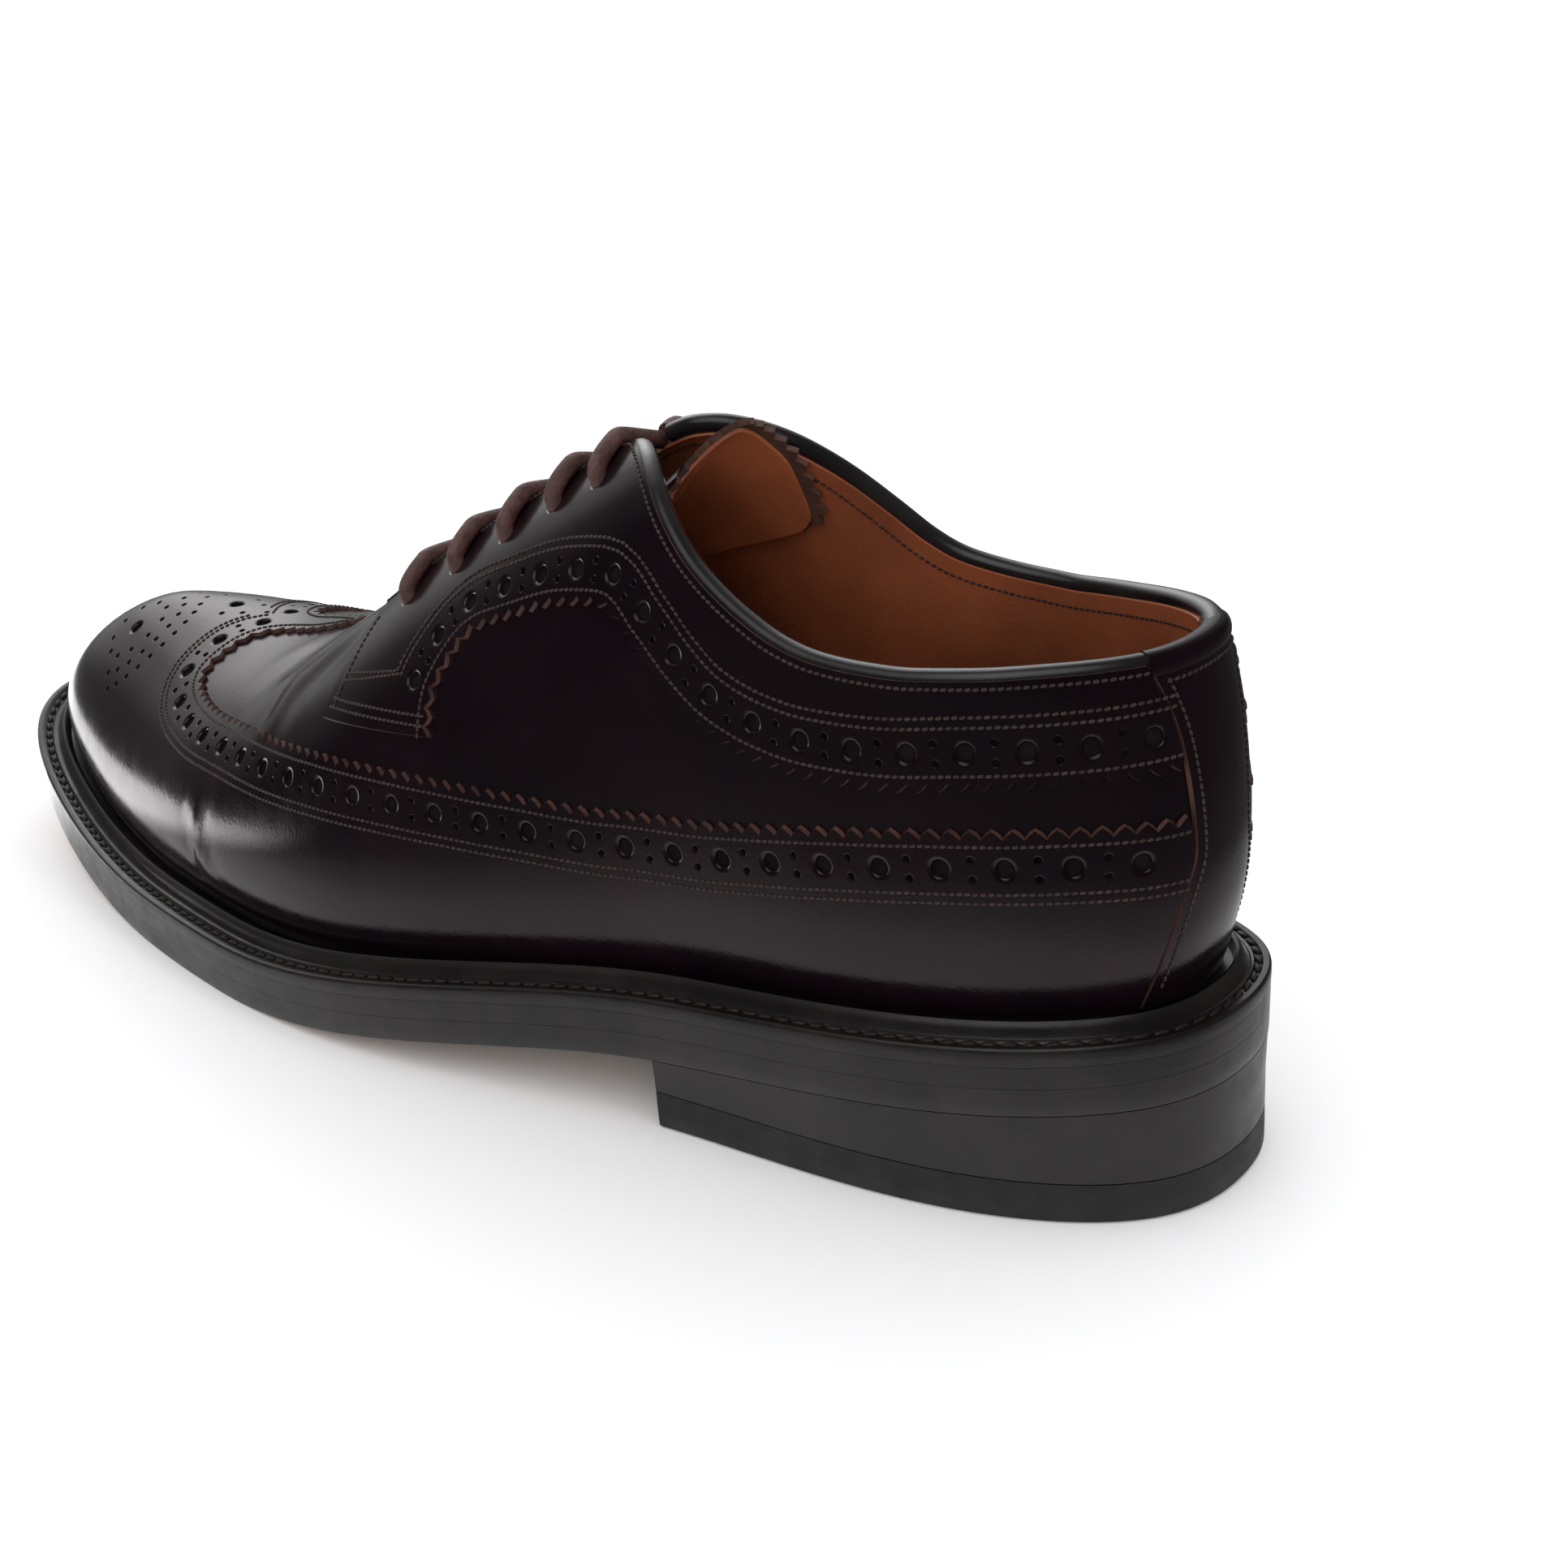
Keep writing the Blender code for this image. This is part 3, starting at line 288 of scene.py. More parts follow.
# Leathers by name, columns: dark colour and its share, light colour and its share, scale of the pores and of
# the patches, low and high roughness, strength of the relief, coat
LEATHERS = {
    "Polished cherry leather": ("upper", 1.0, "upper_glow", 1.0, 1500.0, 26.0, 0.14, 0.20, 0.09, 0.0),
    "Cut leather edge": ("cut_edge", 0.55, "cut_edge", 1.0, 2600.0, 160.0, 0.30, 0.42, 0.4, 0.0),
    "Punched hole": ("pit", 1.0, "pit", 2.0, 2600.0, 160.0, 0.8, 0.95, 0.3, 0.0),
    "Waxed thread": ("thread", 0.6, "thread", 1.0, 5200.0, 420.0, 0.5, 0.65, 0.8, 0.0),
    "Welt thread": ("welt_thread", 0.6, "welt_thread", 1.0, 3000.0, 300.0, 0.45, 0.6, 0.6, 0.0),
    "Tan lining": ("lining", 0.62, "lining", 1.0, 1900.0, 40.0, 0.42, 0.56, 0.25, 0.0),
    "Flesh side": ("flesh", 0.6, "flesh", 1.0, 2400.0, 60.0, 0.7, 0.9, 0.5, 0.0),
    "Bound edge": ("bead", 1.0, "bead", 2.2, 1800.0, 60.0, 0.2, 0.3, 0.1, 0.4),
    "Waxed lace": ("lace", 0.6, "lace", 1.0, 1300.0, 500.0, 0.5, 0.65, 1.0, 0.0),
    "Heel rubber": ("rubber", 0.7, "rubber", 1.0, 900.0, 90.0, 0.5, 0.65, 0.2, 0.0),
    "Sole leather": ("sole", 0.6, "sole", 1.0, 1300.0, 30.0, 0.4, 0.55, 0.2, 0.1),
    "Inked sole edge": ("edge", 0.75, "edge", 1.5, 1500.0, 45.0, 0.30, 0.42, 0.12, 0.12),
    "Pale floor": ("floor", 0.985, "floor", 1.0, 300.0, 3.0, 0.55, 0.65, 0.02, 0.0),
}
COAT_ROUGHNESS = 0.14
# Gloss of raw leather in the holes
RAW_GLOSS = 0.08
# How far a cut edge spreads outwards towards its foot
EDGE_FLARE = 0.22
# Scale and strength of the streaks along the layers of the sole's edge
STREAK_SCALE = (25.0, 25.0, 900.0)
STREAK_STRENGTH = 0.22
# Slope of the faces that count as the sole's underside
UNDERSIDE_SLOPE = -0.8
# Painted shade deep in the shoe: heights where the lining's colour is darkest and where it is full, and its
# tone where darkest
LINING_PAINTED_SHADE = (0.050, 0.092, 0.45)

FLOOR_SIZE = 40.0
# Painted reflection: brightness that the floor's colour takes for glossy rays only, so that the polish shows
# it, columns: distance from the shoe, level
FLOOR_PAINTED_LEVELS = [(0.0, 0.75), (0.03, 0.55), (0.06, 0.28), (0.10, 0.07), (0.25, 0.04)]
# Painted reflection: the core round the shoe from which the floor's painted reflection fades, columns: half
# width, half length
FLOOR_PAINTED_CORE = (0.050, 0.10)
# Painted reflection: a spot ahead of the toe where the floor's colour for glossy rays glows above white: its
# middle, full and outer radius, and level
FLOOR_PAINTED_SPOT = ((-0.02, 0.30, 0.0), 0.13, 0.19, 2.6)
# Lights in the polish, columns: direction, strength, stops of place (away to towards the light) and level
LIGHTS = [
    ((0.47, 0.67, 0.57), 2.8,
     [(0.0, 0.004), (0.75, 0.01), (0.86, 0.045), (0.93, 0.2), (0.97, 0.55), (1.0, 1.0)]),
    ((-0.60, 0.0, 0.80), 1.3, [(0.0, 0.0), (0.92, 0.0), (0.965, 0.6), (1.0, 1.0)]),
]
LIGHT_TINT = 1.01
DOME_STRENGTH = 1.35
CAMERA_PLACE = (-0.2661, -0.2866, 0.1926)
CAMERA_YAW = 0.8686
CAMERA_PITCH = 0.3988
CAMERA_ROLL = -0.0754
CAMERA_LENS = 50.31


def length(name, description, default):
    """A length shown in the panel."""
    return bpy.props.FloatProperty(name=name, description=description, default=default, min=0.0,
                                   precision=5, subtype="DISTANCE", unit="LENGTH")


def colour(name, description, default):
    """A colour shown in the panel."""
    return bpy.props.FloatVectorProperty(name=name, description=description, default=default, min=0.0,
                                         max=1.0, size=3, subtype="COLOR")


class ShoeSizes(bpy.types.PropertyGroup):
    """Sizes of what is added to the solids."""
    gimp_pitch: length("Gimp pitch", "Distance between the teeth of a gimped edge", 0.0032)
    gimp_depth: length("Gimp depth", "Depth of the teeth of a gimped edge", 0.0014)
    wing_hole_pitch: length("Wing hole pitch", "Distance between the big holes of the wing", 0.0101)
    collar_hole_pitch: length("Collar hole pitch", "Distance between the big holes of the facing", 0.0092)
    big_hole: length("Big hole", "Radius of a big punched hole", 0.00135)
    small_hole: length("Small hole", "Radius of a small punched hole", 0.00052)
    stitch_pitch: length("Stitch pitch", "Distance between the stitches of the upper", 0.0012)
    thread_width: length("Thread width", "Width of the thread of the upper", 0.00058)
    welt_stitch_pitch: length("Welt stitch pitch", "Distance between the stitches of the welt", 0.0032)
    welt_thread_width: length("Welt thread width", "Width of the thread of the welt", 0.0012)
    lace_width: length("Lace width", "Width of the round lace", 0.0031)
    bead_width: length("Bead width", "Width of the bead along the collar", 0.0035)


class ShoeColours(bpy.types.PropertyGroup):
    """Colours of the materials."""
    upper: colour("Upper", "Black cherry of the upper", (0.0030, 0.0013, 0.0025))
    upper_glow: colour("Upper glow", "Lighter cherry that shows through the finish", (0.0062, 0.0023, 0.0040))
    polish: colour("Polish", "Tint of the polish of the upper", (1.0, 0.87, 0.86))
    cut_edge: colour("Cut edge", "Raw edge of the cut leather", (0.085, 0.040, 0.030))
    pit: colour("Pit", "Bottom of the punched holes", (0.005, 0.003, 0.003))
    thread: colour("Thread", "Thread of the upper", (0.050, 0.026, 0.022))
    welt_thread: colour("Welt thread", "Inked thread of the welt", (0.022, 0.012, 0.010))
    lining: colour("Lining", "Tan lining", (0.330, 0.088, 0.032))
    flesh: colour("Flesh side", "Unlined side of the leather", (0.090, 0.038, 0.022))
    bead: colour("Bead", "Bound collar edge", (0.006, 0.005, 0.005))
    lace: colour("Lace", "Waxed cord", (0.100, 0.040, 0.033))
    edge: colour("Sole edge", "Inked edge of the sole", (0.0092, 0.0068, 0.0062))
    sole: colour("Sole underside", "Natural leather under the sole", (0.330, 0.175, 0.082))
    rubber: colour("Rubber", "Top lift", (0.010, 0.010, 0.011))
    floor: colour("Floor", "Pale floor", (0.930, 0.930, 0.930))


def sizes():
    return bpy.context.scene.shoe_sizes


def colours():
    return bpy.context.scene.shoe_colours


def unit(vectors):
    return vectors / np.maximum(np.linalg.norm(vectors, axis=-1, keepdims=True), TINY)


def table_curve(rows, column, at):
    """Smooth curve through a table's column over its first column, without overshoot."""
    table = np.array(rows)
    keys, values = table[:, 0], table[:, column]
    gaps = np.diff(keys)
    slopes = np.diff(values) / gaps
    tangents = np.zeros(len(keys))
    tangents[0], tangents[-1] = slopes[0], slopes[-1]
    for i in range(1, len(keys) - 1):
        if slopes[i - 1] * slopes[i] > 0.0:
            first = 2 * gaps[i] + gaps[i - 1]
            second = gaps[i] + 2 * gaps[i - 1]
            tangents[i] = (first + second) / (first / slopes[i - 1] + second / slopes[i])
    at = np.clip(at, keys[0], keys[-1])
    i = np.clip(np.searchsorted(keys, at, side="right") - 1, 0, len(gaps) - 1)
    t = (at - keys[i]) / gaps[i]
    return (values[i] * (1 + 2 * t) * (1 - t) ** 2 + tangents[i] * gaps[i] * t * (1 - t) ** 2
            + values[i + 1] * t * t * (3 - 2 * t) + tangents[i + 1] * gaps[i] * t * t * (t - 1))


class ClosedSpline:
    """Smooth closed curve through points, read with a parameter from 0 to its length."""

    def __init__(self, points):
        self.points = np.array(points)
        after = np.roll(self.points, -1, axis=0)
        self.gaps = np.sqrt(np.linalg.norm(after - self.points, axis=1))
        self.knots = np.concatenate([[0.0], np.cumsum(self.gaps)])
        count = len(self.points)
        matrix = np.zeros((count, count))
        target = np.zeros_like(self.points)
        for i in range(count):
            matrix[i, i - 1] += self.gaps[i - 1]
            matrix[i, i] += 2 * (self.gaps[i - 1] + self.gaps[i])
            matrix[i, (i + 1) % count] += self.gaps[i]
            ahead = (after[i] - self.points[i]) / self.gaps[i]
            behind = (self.points[i] - self.points[i - 1]) / self.gaps[i - 1]
            target[i] = 6 * (ahead - behind)
        self.bends = np.linalg.solve(matrix, target)

    def read(self, at):
        """Points and slopes at the parameters."""
        at = np.mod(at, self.knots[-1])
        i = np.clip(np.searchsorted(self.knots, at, side="right") - 1, 0, len(self.gaps) - 1)
        j = (i + 1) % len(self.gaps)
        gap = self.gaps[i][:, None]
        b = (at - self.knots[i])[:, None] / gap
        a = 1 - b
        bend = (a ** 3 - a) * self.bends[i] + (b ** 3 - b) * self.bends[j]
        point = a * self.points[i] + b * self.points[j] + bend * gap ** 2 / 6
        turn = (3 * b * b - 1) * self.bends[j] - (3 * a * a - 1) * self.bends[i]
        slope = (self.points[j] - self.points[i]) / gap + turn * gap / 6
        return point, slope


EDGE = ClosedSpline([HEEL_BACK] + LATERAL_EDGE + [TOE_TIP] + MEDIAL_EDGE[::-1])
TOE_KNOT = EDGE.knots[len(LATERAL_EDGE) + 1]


def edge_points(turn, inset):
    """Points of the sole edge set in by a distance; turn is 0 at the heel, 1 at the toe, 2 at the heel."""
    turn = np.asarray(turn, dtype=float)
    rest = EDGE.knots[-1] - TOE_KNOT
    at = np.where(turn <= 1, turn * TOE_KNOT, TOE_KNOT + (turn - 1) * rest)
    point, slope = EDGE.read(at)
    inward = unit(np.stack([slope[:, 1], -slope[:, 0]], axis=1))
    return point + inward * np.broadcast_to(inset, at.shape)[:, None]


def frame_shift():
    """Centre of the sole, which is the frame's origin."""
    edge = edge_points(np.linspace(0, 2, OUTLINE_SAMPLES), 0.0)
    return (edge.min(axis=0) + edge.max(axis=0)) / 2


SHIFT = np.append(frame_shift(), 0.0)


def sole_bottom(y):
    """Height of the sole's bottom: heel seat, arch, flat forefoot and toe spring."""
    y = np.asarray(y, dtype=float)
    seat = HEEL_SEAT_AT_BREAST + (HEEL_SEAT_AT_BACK - HEEL_SEAT_AT_BREAST) * (BREAST_Y - y) / BREAST_Y
    u = np.clip((FLAT_START_Y - y) / (FLAT_START_Y - BREAST_Y), 0.0, 1.0)
    arch = HEEL_SEAT_AT_BREAST * 0.5 * (3 * u ** 2 - 2 * u ** 3 + u ** 1.5)
    rise = np.clip((y - FLAT_END_Y) / (TOE_TIP[1] - FLAT_END_Y), 0.0, None)
    return np.where(y < BREAST_Y, seat, arch) + TOE_SPRING * rise ** 2


def heel_to_fore(y):
    """Share from 0 over the heel to 1 over the forefoot."""
    return np.clip((np.asarray(y) - WAIST_START_Y) / WAIST_LENGTH, 0.0, 1.0)


def feather_points(turn):
    """The line where the wall of the upper stands on the welt."""
    y = edge_points(turn, 0.0)[:, 1]
    inset = FEATHER_INSET_HEEL + (FEATHER_INSET_FORE - FEATHER_INSET_HEEL) * heel_to_fore(y)
    point = edge_points(turn, inset)
    return np.column_stack([point, sole_bottom(point[:, 1]) + WELT_TOP + FEATHER_GAP])


def fanned_ridge_y(feather_y, toe_y, back_y):
    """Where a wall section that starts at the feather reaches the ridge; sections fan at toe and heel."""
    toe = np.clip((feather_y - TOE_FAN_START_Y) / (toe_y - TOE_FAN_START_Y), 0.0, 1.0)
    heel = np.clip((HEEL_FAN_START_Y - feather_y) / (HEEL_FAN_START_Y - back_y), 0.0, 1.0)
    toe_reach = (toe_y - TOE_FAN_START_Y) / 2
    heel_reach = (HEEL_FAN_START_Y - back_y) / 2
    middle = np.clip(feather_y, HEEL_FAN_START_Y, TOE_FAN_START_Y)
    return middle + toe_reach * (1 - (1 - toe) ** 2) - heel_reach * (1 - (1 - heel) ** 2)


class Last:
    """The outer form of the shoe above the welt with its creases, read by chart rows of station and rise."""

    SECTIONS = 601
    STEPS = 121
    FOOT_STEPS = 30
    LEVELS = 161
    PROBE = 0.4

    def __init__(self):
        turn = np.concatenate([np.linspace(0, 1, self.SECTIONS), np.linspace(1, 2, self.SECTIONS)[1:]])
        feather = feather_points(turn)
        along = np.linalg.norm(np.diff(feather, axis=0), axis=1)
        self.stations = np.concatenate([[0.0], np.cumsum(along)])
        self.length = self.stations[-1]
        self.toe_station = self.stations[self.SECTIONS - 1]
        self.ridge_y = fanned_ridge_y(feather[:, 1], feather[:, 1].max(), feather[:, 1].min())
        self.points, self.tops = self.levelled(self.sections(turn, feather))
        self.ridge = self.points[:, -1, :2].copy()
        self.way = unit(self.ridge - feather[:, :2])
        self.normals = self.surface_normals()
        self.points = self.points + self.normals * self.crease_heights()[:, :, None]
        self.normals = self.surface_normals()
        self.grid = self.even_grid()
        self.grid_flat = self.flat(self.grid)
        self.grid_points = self.place(self.grid, 0.0)

    def sections(self, turn, feather):
        """One curve a station: a foot that bulges outwards, then a rounded shoulder up to the ridge."""
        lateral = turn <= 1
        wall = [np.where(lateral, table_curve(LATERAL_WALL, c, feather[:, 1]),
                         table_curve(MEDIAL_WALL, c, feather[:, 1]))[:, None] for c in (1, 2, 3)]
        bulge, bulge_height, fullness = wall
        ridge_z = table_curve(RIDGE, 1, self.ridge_y)[:, None]
        ridge_x = table_curve(RIDGE, 2, self.ridge_y)[:, None]
        span = np.column_stack([ridge_x[:, 0] - feather[:, 0], self.ridge_y - feather[:, 1]])
        reach = np.linalg.norm(span, axis=1)[:, None]
        way = span / reach
        foot = np.linspace(0, 1, self.FOOT_STEPS, endpoint=False)[None, :]
        foot_in = -bulge * (1 - (1 - foot) ** 2)
        foot_up = bulge_height * foot
        t = np.linspace(0, 1, self.STEPS - self.FOOT_STEPS)[None, :]
        b1, b2, b3 = 3 * t * (1 - t) ** 2, 3 * t * t * (1 - t), t ** 3
        climb = ridge_z - feather[:, 2:3] - bulge_height
        top_in = -bulge + (reach + bulge) * (b2 * (1 - fullness) + b3)
        top_up = bulge_height + climb * (b1 * fullness + b2 + b3)
        inward = np.concatenate([foot_in, top_in], axis=1)
        up = np.concatenate([foot_up, top_up], axis=1)
        x = feather[:, 0:1] + way[:, 0:1] * inward
        y = feather[:, 1:2] + way[:, 1:2] * inward
        return np.stack([x, y, feather[:, 2:3] + up], axis=2)

    def levelled(self, sections):
        """Sections read again at even shares of their rise, and the rise of each at the ridge."""
        steps = np.linalg.norm(np.diff(sections, axis=1), axis=2)
        rises = np.concatenate([np.zeros((len(sections), 1)), np.cumsum(steps, axis=1)], axis=1)
        shares = np.linspace(0, 1, self.LEVELS)
        even = np.zeros((len(sections), self.LEVELS, 3))
        for i, section in enumerate(sections):
            for c in range(3):
                even[i, :, c] = np.interp(shares * rises[i, -1], rises[i], section[:, c])
        return even, rises[:, -1]

    def surface_normals(self):
        around = np.zeros_like(self.points)
        around[1:-1] = self.points[2:] - self.points[:-2]
        around[0] = around[-1] = self.points[1] - self.points[-2]
        normal = unit(np.cross(np.gradient(self.points, axis=1), around))
        normal[:, -1] = normal[:, -2]
        return normal

    def crease_heights(self):
        """Soft ridges with a trough on either side, the same on both sides of the foot."""
        medial = self.stations > self.toe_station
        station = np.where(medial, self.ridge_station(self.ridge_y, False), self.stations)
        tops = np.where(medial, np.interp(station, self.stations, self.tops), self.tops)
        rise = tops[:, None] * np.linspace(0, 1, self.LEVELS)[None, :]
        heights = np.zeros_like(rise)
        for middle, level, direction, half_length, half_width, height in CREASES:
            turn = math.radians(direction)
            ahead, above = station[:, None] - middle, rise - level
            along = (ahead * math.cos(turn) + above * math.sin(turn)) / half_length
            across = (above * math.cos(turn) - ahead * math.sin(turn)) / half_width
            troughs = np.exp(-(across - CREASE_SPREAD) ** 2) + np.exp(-(across + CREASE_SPREAD) ** 2)
            heights += height * np.exp(-along ** 2) * (np.exp(-across ** 2) - CREASE_TROUGH_SHARE * troughs)
        return heights

    def even_grid(self):
        """Chart points about a grid step apart all over the last."""
        found = []
        levels = int(self.tops.max() / GRID_STEP)
        for share in (np.arange(levels) + 0.5) / levels:
            line = np.column_stack([self.stations, self.tops * share])
            steps = np.linalg.norm(np.diff(self.place(line, 0.0), axis=0), axis=1)
            walked = np.concatenate([[0.0], np.cumsum(steps)])
            at = np.arange(0.0, walked[-1], GRID_STEP)
            station = np.interp(at, walked, self.stations)
            found.append(np.column_stack([station, self.top_rise(station) * share]))
        return np.concatenate(found)

    def read(self, chart):
        """Points and outward normals at chart rows."""
        station = np.mod(chart[:, 0], self.length)
        row = np.clip(np.searchsorted(self.stations, station, side="right") - 1, 0, len(self.stations) - 2)
        across = (station - self.stations[row]) / (self.stations[row + 1] - self.stations[row])
        level = np.clip(chart[:, 1] / self.top_rise(station), 0.0, 1.0) * (self.LEVELS - 1)
        step = np.minimum(level.astype(int), self.LEVELS - 2)
        up = level - step
        shares = [(1 - across) * (1 - up), across * (1 - up), (1 - across) * up, across * up]
        cells = [(row, step), (row + 1, step), (row, step + 1), (row + 1, step + 1)]
        point = sum(self.points[cell] * share[:, None] for cell, share in zip(cells, shares))
        normal = sum(self.normals[cell] * share[:, None] for cell, share in zip(cells, shares))
        return point, unit(normal)

    def place(self, chart, offset):
        """Points at chart rows, moved out of the surface by an offset."""
        point, normal = self.read(np.asarray(chart, dtype=float))
        return point + normal * np.reshape(offset, (-1, 1))

    def top_rise(self, station):
        """Rise at which a section reaches the ridge."""
        return np.interp(np.mod(station, self.length), self.stations, self.tops)

    def ridge_station(self, y, medial):
        """Station of the section that reaches the ridge at y."""
        middle = self.SECTIONS - 1
        if medial:
            return np.interp(y, self.ridge_y[middle:][::-1], self.stations[middle:][::-1])
        return np.interp(y, self.ridge_y[:middle + 1], self.stations[:middle + 1])

    def medial_station(self, station):
        """Medial station that faces a lateral one: by length at the heel, by the ridge's y further on."""
        share = np.clip((station - HEEL_MATCH_START) / HEEL_MATCH_LENGTH, 0.0, 1.0)
        share = share * share * (3 - 2 * share)
        facing = self.ridge_station(np.interp(station, self.stations, self.ridge_y), True)
        return (1 - share) * (self.length - station) + share * facing

    def mirrored(self, line):
        """A line of the lateral side carried to the medial side, listed from its last point back."""
        line = np.array(line)
        station = self.medial_station(line[:, 0])
        rise = line[:, 1] * self.top_rise(station) / self.top_rise(line[:, 0])
        return np.column_stack([station, rise])[::-1]

    def flat(self, chart):
        """Chart rows laid out flat round the ridge as seen from above, without folds at toe or heel."""
        station = np.mod(chart[:, 0], self.length)
        below = self.top_rise(station) - chart[:, 1]
        ridge = np.column_stack([np.interp(station, self.stations, self.ridge[:, c]) for c in (0, 1)])
        way = np.column_stack([np.interp(station, self.stations, self.way[:, c]) for c in (0, 1)])
        return ridge - way * below[:, None]

    def unflat(self, spots):
        """Chart rows of spots laid out flat: between two sections that pass on either side of a spot."""
        away = spots[:, None, :] - self.ridge[None, :, :]
        below = -(away * self.way[None]).sum(axis=2)
        beside = away[:, :, 0] * self.way[None, :, 1] - away[:, :, 1] * self.way[None, :, 0]
        crossing = (beside[:, :-1] * beside[:, 1:] <= 0.0) & (below[:, :-1] > -self.PROBE)
        miss = np.where(crossing, np.abs(beside[:, :-1]) + np.abs(beside[:, 1:]), np.inf)
        row = np.argmin(miss, axis=1)
        spot = np.arange(len(spots))
        first, second = beside[spot, row], beside[spot, row + 1]
        gap = np.where(np.abs(first - second) > TINY, first - second, 1.0)
        share = first / gap
        station = self.stations[row] + share * (self.stations[row + 1] - self.stations[row])
        depth = below[spot, row] + share * (below[spot, row + 1] - below[spot, row])
        return np.column_stack([station, self.top_rise(station) - depth])

    def moved(self, chart, shift):
        """Chart rows after a small shift in space along the surface."""
        top = self.top_rise(chart[:, 0])
        base = np.column_stack([chart[:, 0], np.clip(chart[:, 1], self.PROBE, top - self.PROBE)])
        ahead, above = np.array([self.PROBE, 0.0]), np.array([0.0, self.PROBE])
        along = (self.place(base + ahead, 0.0) - self.place(base - ahead, 0.0)) / (2 * self.PROBE)
        up = (self.place(base + above, 0.0) - self.place(base - above, 0.0)) / (2 * self.PROBE)
        aa, uu, au = (along * along).sum(1), (up * up).sum(1), (along * up).sum(1)
        a, u = (along * shift).sum(1), (up * shift).sum(1)
        spread = np.maximum(aa * uu - au * au, 1e-9)
        return chart + np.column_stack([a * uu - u * au, u * aa - a * au]) / spread[:, None]


LAST = Last()


def walked(line):
    """Distance on the surface along a chart line."""
    steps = np.linalg.norm(np.diff(LAST.place(line, 0.0), axis=0), axis=1)
    return np.concatenate([[0.0], np.cumsum(steps)])


def read_line(line, at):
    """Chart rows at distances along a chart line."""
    along = walked(line)
    return np.column_stack([np.interp(at, along, line[:, c]) for c in (0, 1)])


def evened(line, spacing):
    """A chart line read again at an even spacing."""
    total = walked(line)[-1]
    count = max(2, int(round(total / spacing)) + 1)
    return read_line(line, np.linspace(0.0, total, count))


def chart_curve(rows):
    """Points along a smooth open curve through a chart table's rows."""
    rows = np.array(rows, dtype=float)
    gaps = np.sqrt(np.linalg.norm(np.diff(rows, axis=0), axis=1))
    keys = np.concatenate([[0.0], np.cumsum(gaps)])
    dense = np.linspace(0.0, keys[-1], CURVE_SAMPLES)
    curve = np.column_stack([table_curve(np.column_stack([keys, rows]), c, dense) for c in (1, 2)])
    return evened(curve, LOOP_STEP)


def straight(first, last):
    """Chart points from one point to another."""
    share = np.linspace(0.0, 1.0, STRAIGHT_STEPS)[:, None]
    return evened(np.asarray(first) * (1 - share) + np.asarray(last) * share, LOOP_STEP)


def ridge_point(y, medial):
    station = float(LAST.ridge_station(y, medial))
    return np.array([[station, float(LAST.top_rise(station))]])


def sideways(line):
    """Unit vectors in the surface to the left of a chart line, seen from outside."""
    point, normal = LAST.read(line)
    return unit(np.cross(normal, np.gradient(point, axis=0)))


def aside(line, distance):
    """A chart line moved to its left by a distance, or to its right if that is negative."""
    steps = max(1, math.ceil(abs(distance) / ASIDE_STEP))
    for _ in range(steps):
        line = LAST.moved(line, sideways(line) * (distance / steps))
    return line


def gimped(line):
    """A chart line cut into teeth, their roots to its left."""
    pitch, depth = sizes().gimp_pitch / MM, sizes().gimp_depth / MM
    total = walked(line)[-1]
    teeth = max(1, int(round(total / pitch)))
    even = read_line(line, np.linspace(0.0, total, teeth * len(GIMP_TOOTH) + 1))
    depths = np.resize(GIMP_TOOTH, len(even)) * depth
    return LAST.moved(even, sideways(even) * depths[:, None])


def joined(lines):
    """One closed loop from chart lines that follow each other, without doubled points."""
    loop = []
    spots = []
    for row in np.concatenate(lines):
        spot = LAST.flat(row[None])[0]
        if not spots or np.linalg.norm(spot - spots[-1]) > WELD_REACH:
            loop.append(row)
            spots.append(spot)
    if np.linalg.norm(spots[0] - spots[-1]) < WELD_REACH:
        loop.pop()
    return np.array(loop)


def inside(loop, points):
    """Which points lie inside a loop."""
    x, y = points[:, 0], points[:, 1]
    within = np.zeros(len(points), dtype=bool)
    for (ax, ay), (bx, by) in zip(loop, np.roll(loop, -1, axis=0)):
        crosses = (ay > y) != (by > y)
        level = by - ay if abs(by - ay) > TINY else TINY
        within ^= crosses & (x < (bx - ax) * (y - ay) / level + ax)
    return within


def clearance(loop, points):
    """Distance of each point from a loop."""
    best = np.full(len(points), np.inf)
    for a, b in zip(loop, np.roll(loop, -1, axis=0)):
        way = b - a
        t = np.clip(((points - a) @ way) / max(way @ way, TINY), 0.0, 1.0)
        best = np.minimum(best, np.linalg.norm(points - a - t[:, None] * way, axis=1))
    return best


def ring_angles(sides):
    return np.linspace(0.0, 2 * math.pi, sides, endpoint=False)[:, None]


def punch(centre, radius, rim, sides):
    """Rings of a punched hole about a chart row, each with its depth."""
    normal = LAST.read(centre[None])[1][0]
    across = unit(np.cross((0.0, 0.0, 1.0), normal))
    up = np.cross(normal, across)
    ring = np.cos(ring_angles(sides)) * across + np.sin(ring_angles(sides)) * up
    start = np.repeat(centre[None], sides, axis=0)
    return [(LAST.moved(start, ring * (radius + wider)), depth) for wider, depth in rim]


def flat_punch(spot, radius, rim, sides):
    """Rings of a punched hole about a spot of the flat lay-out near the ridge."""
    ring = np.hstack([np.cos(ring_angles(sides)), np.sin(ring_angles(sides))])
    return [(LAST.unflat(np.asarray(spot) + ring * (radius + wider)), depth) for wider, depth in rim]


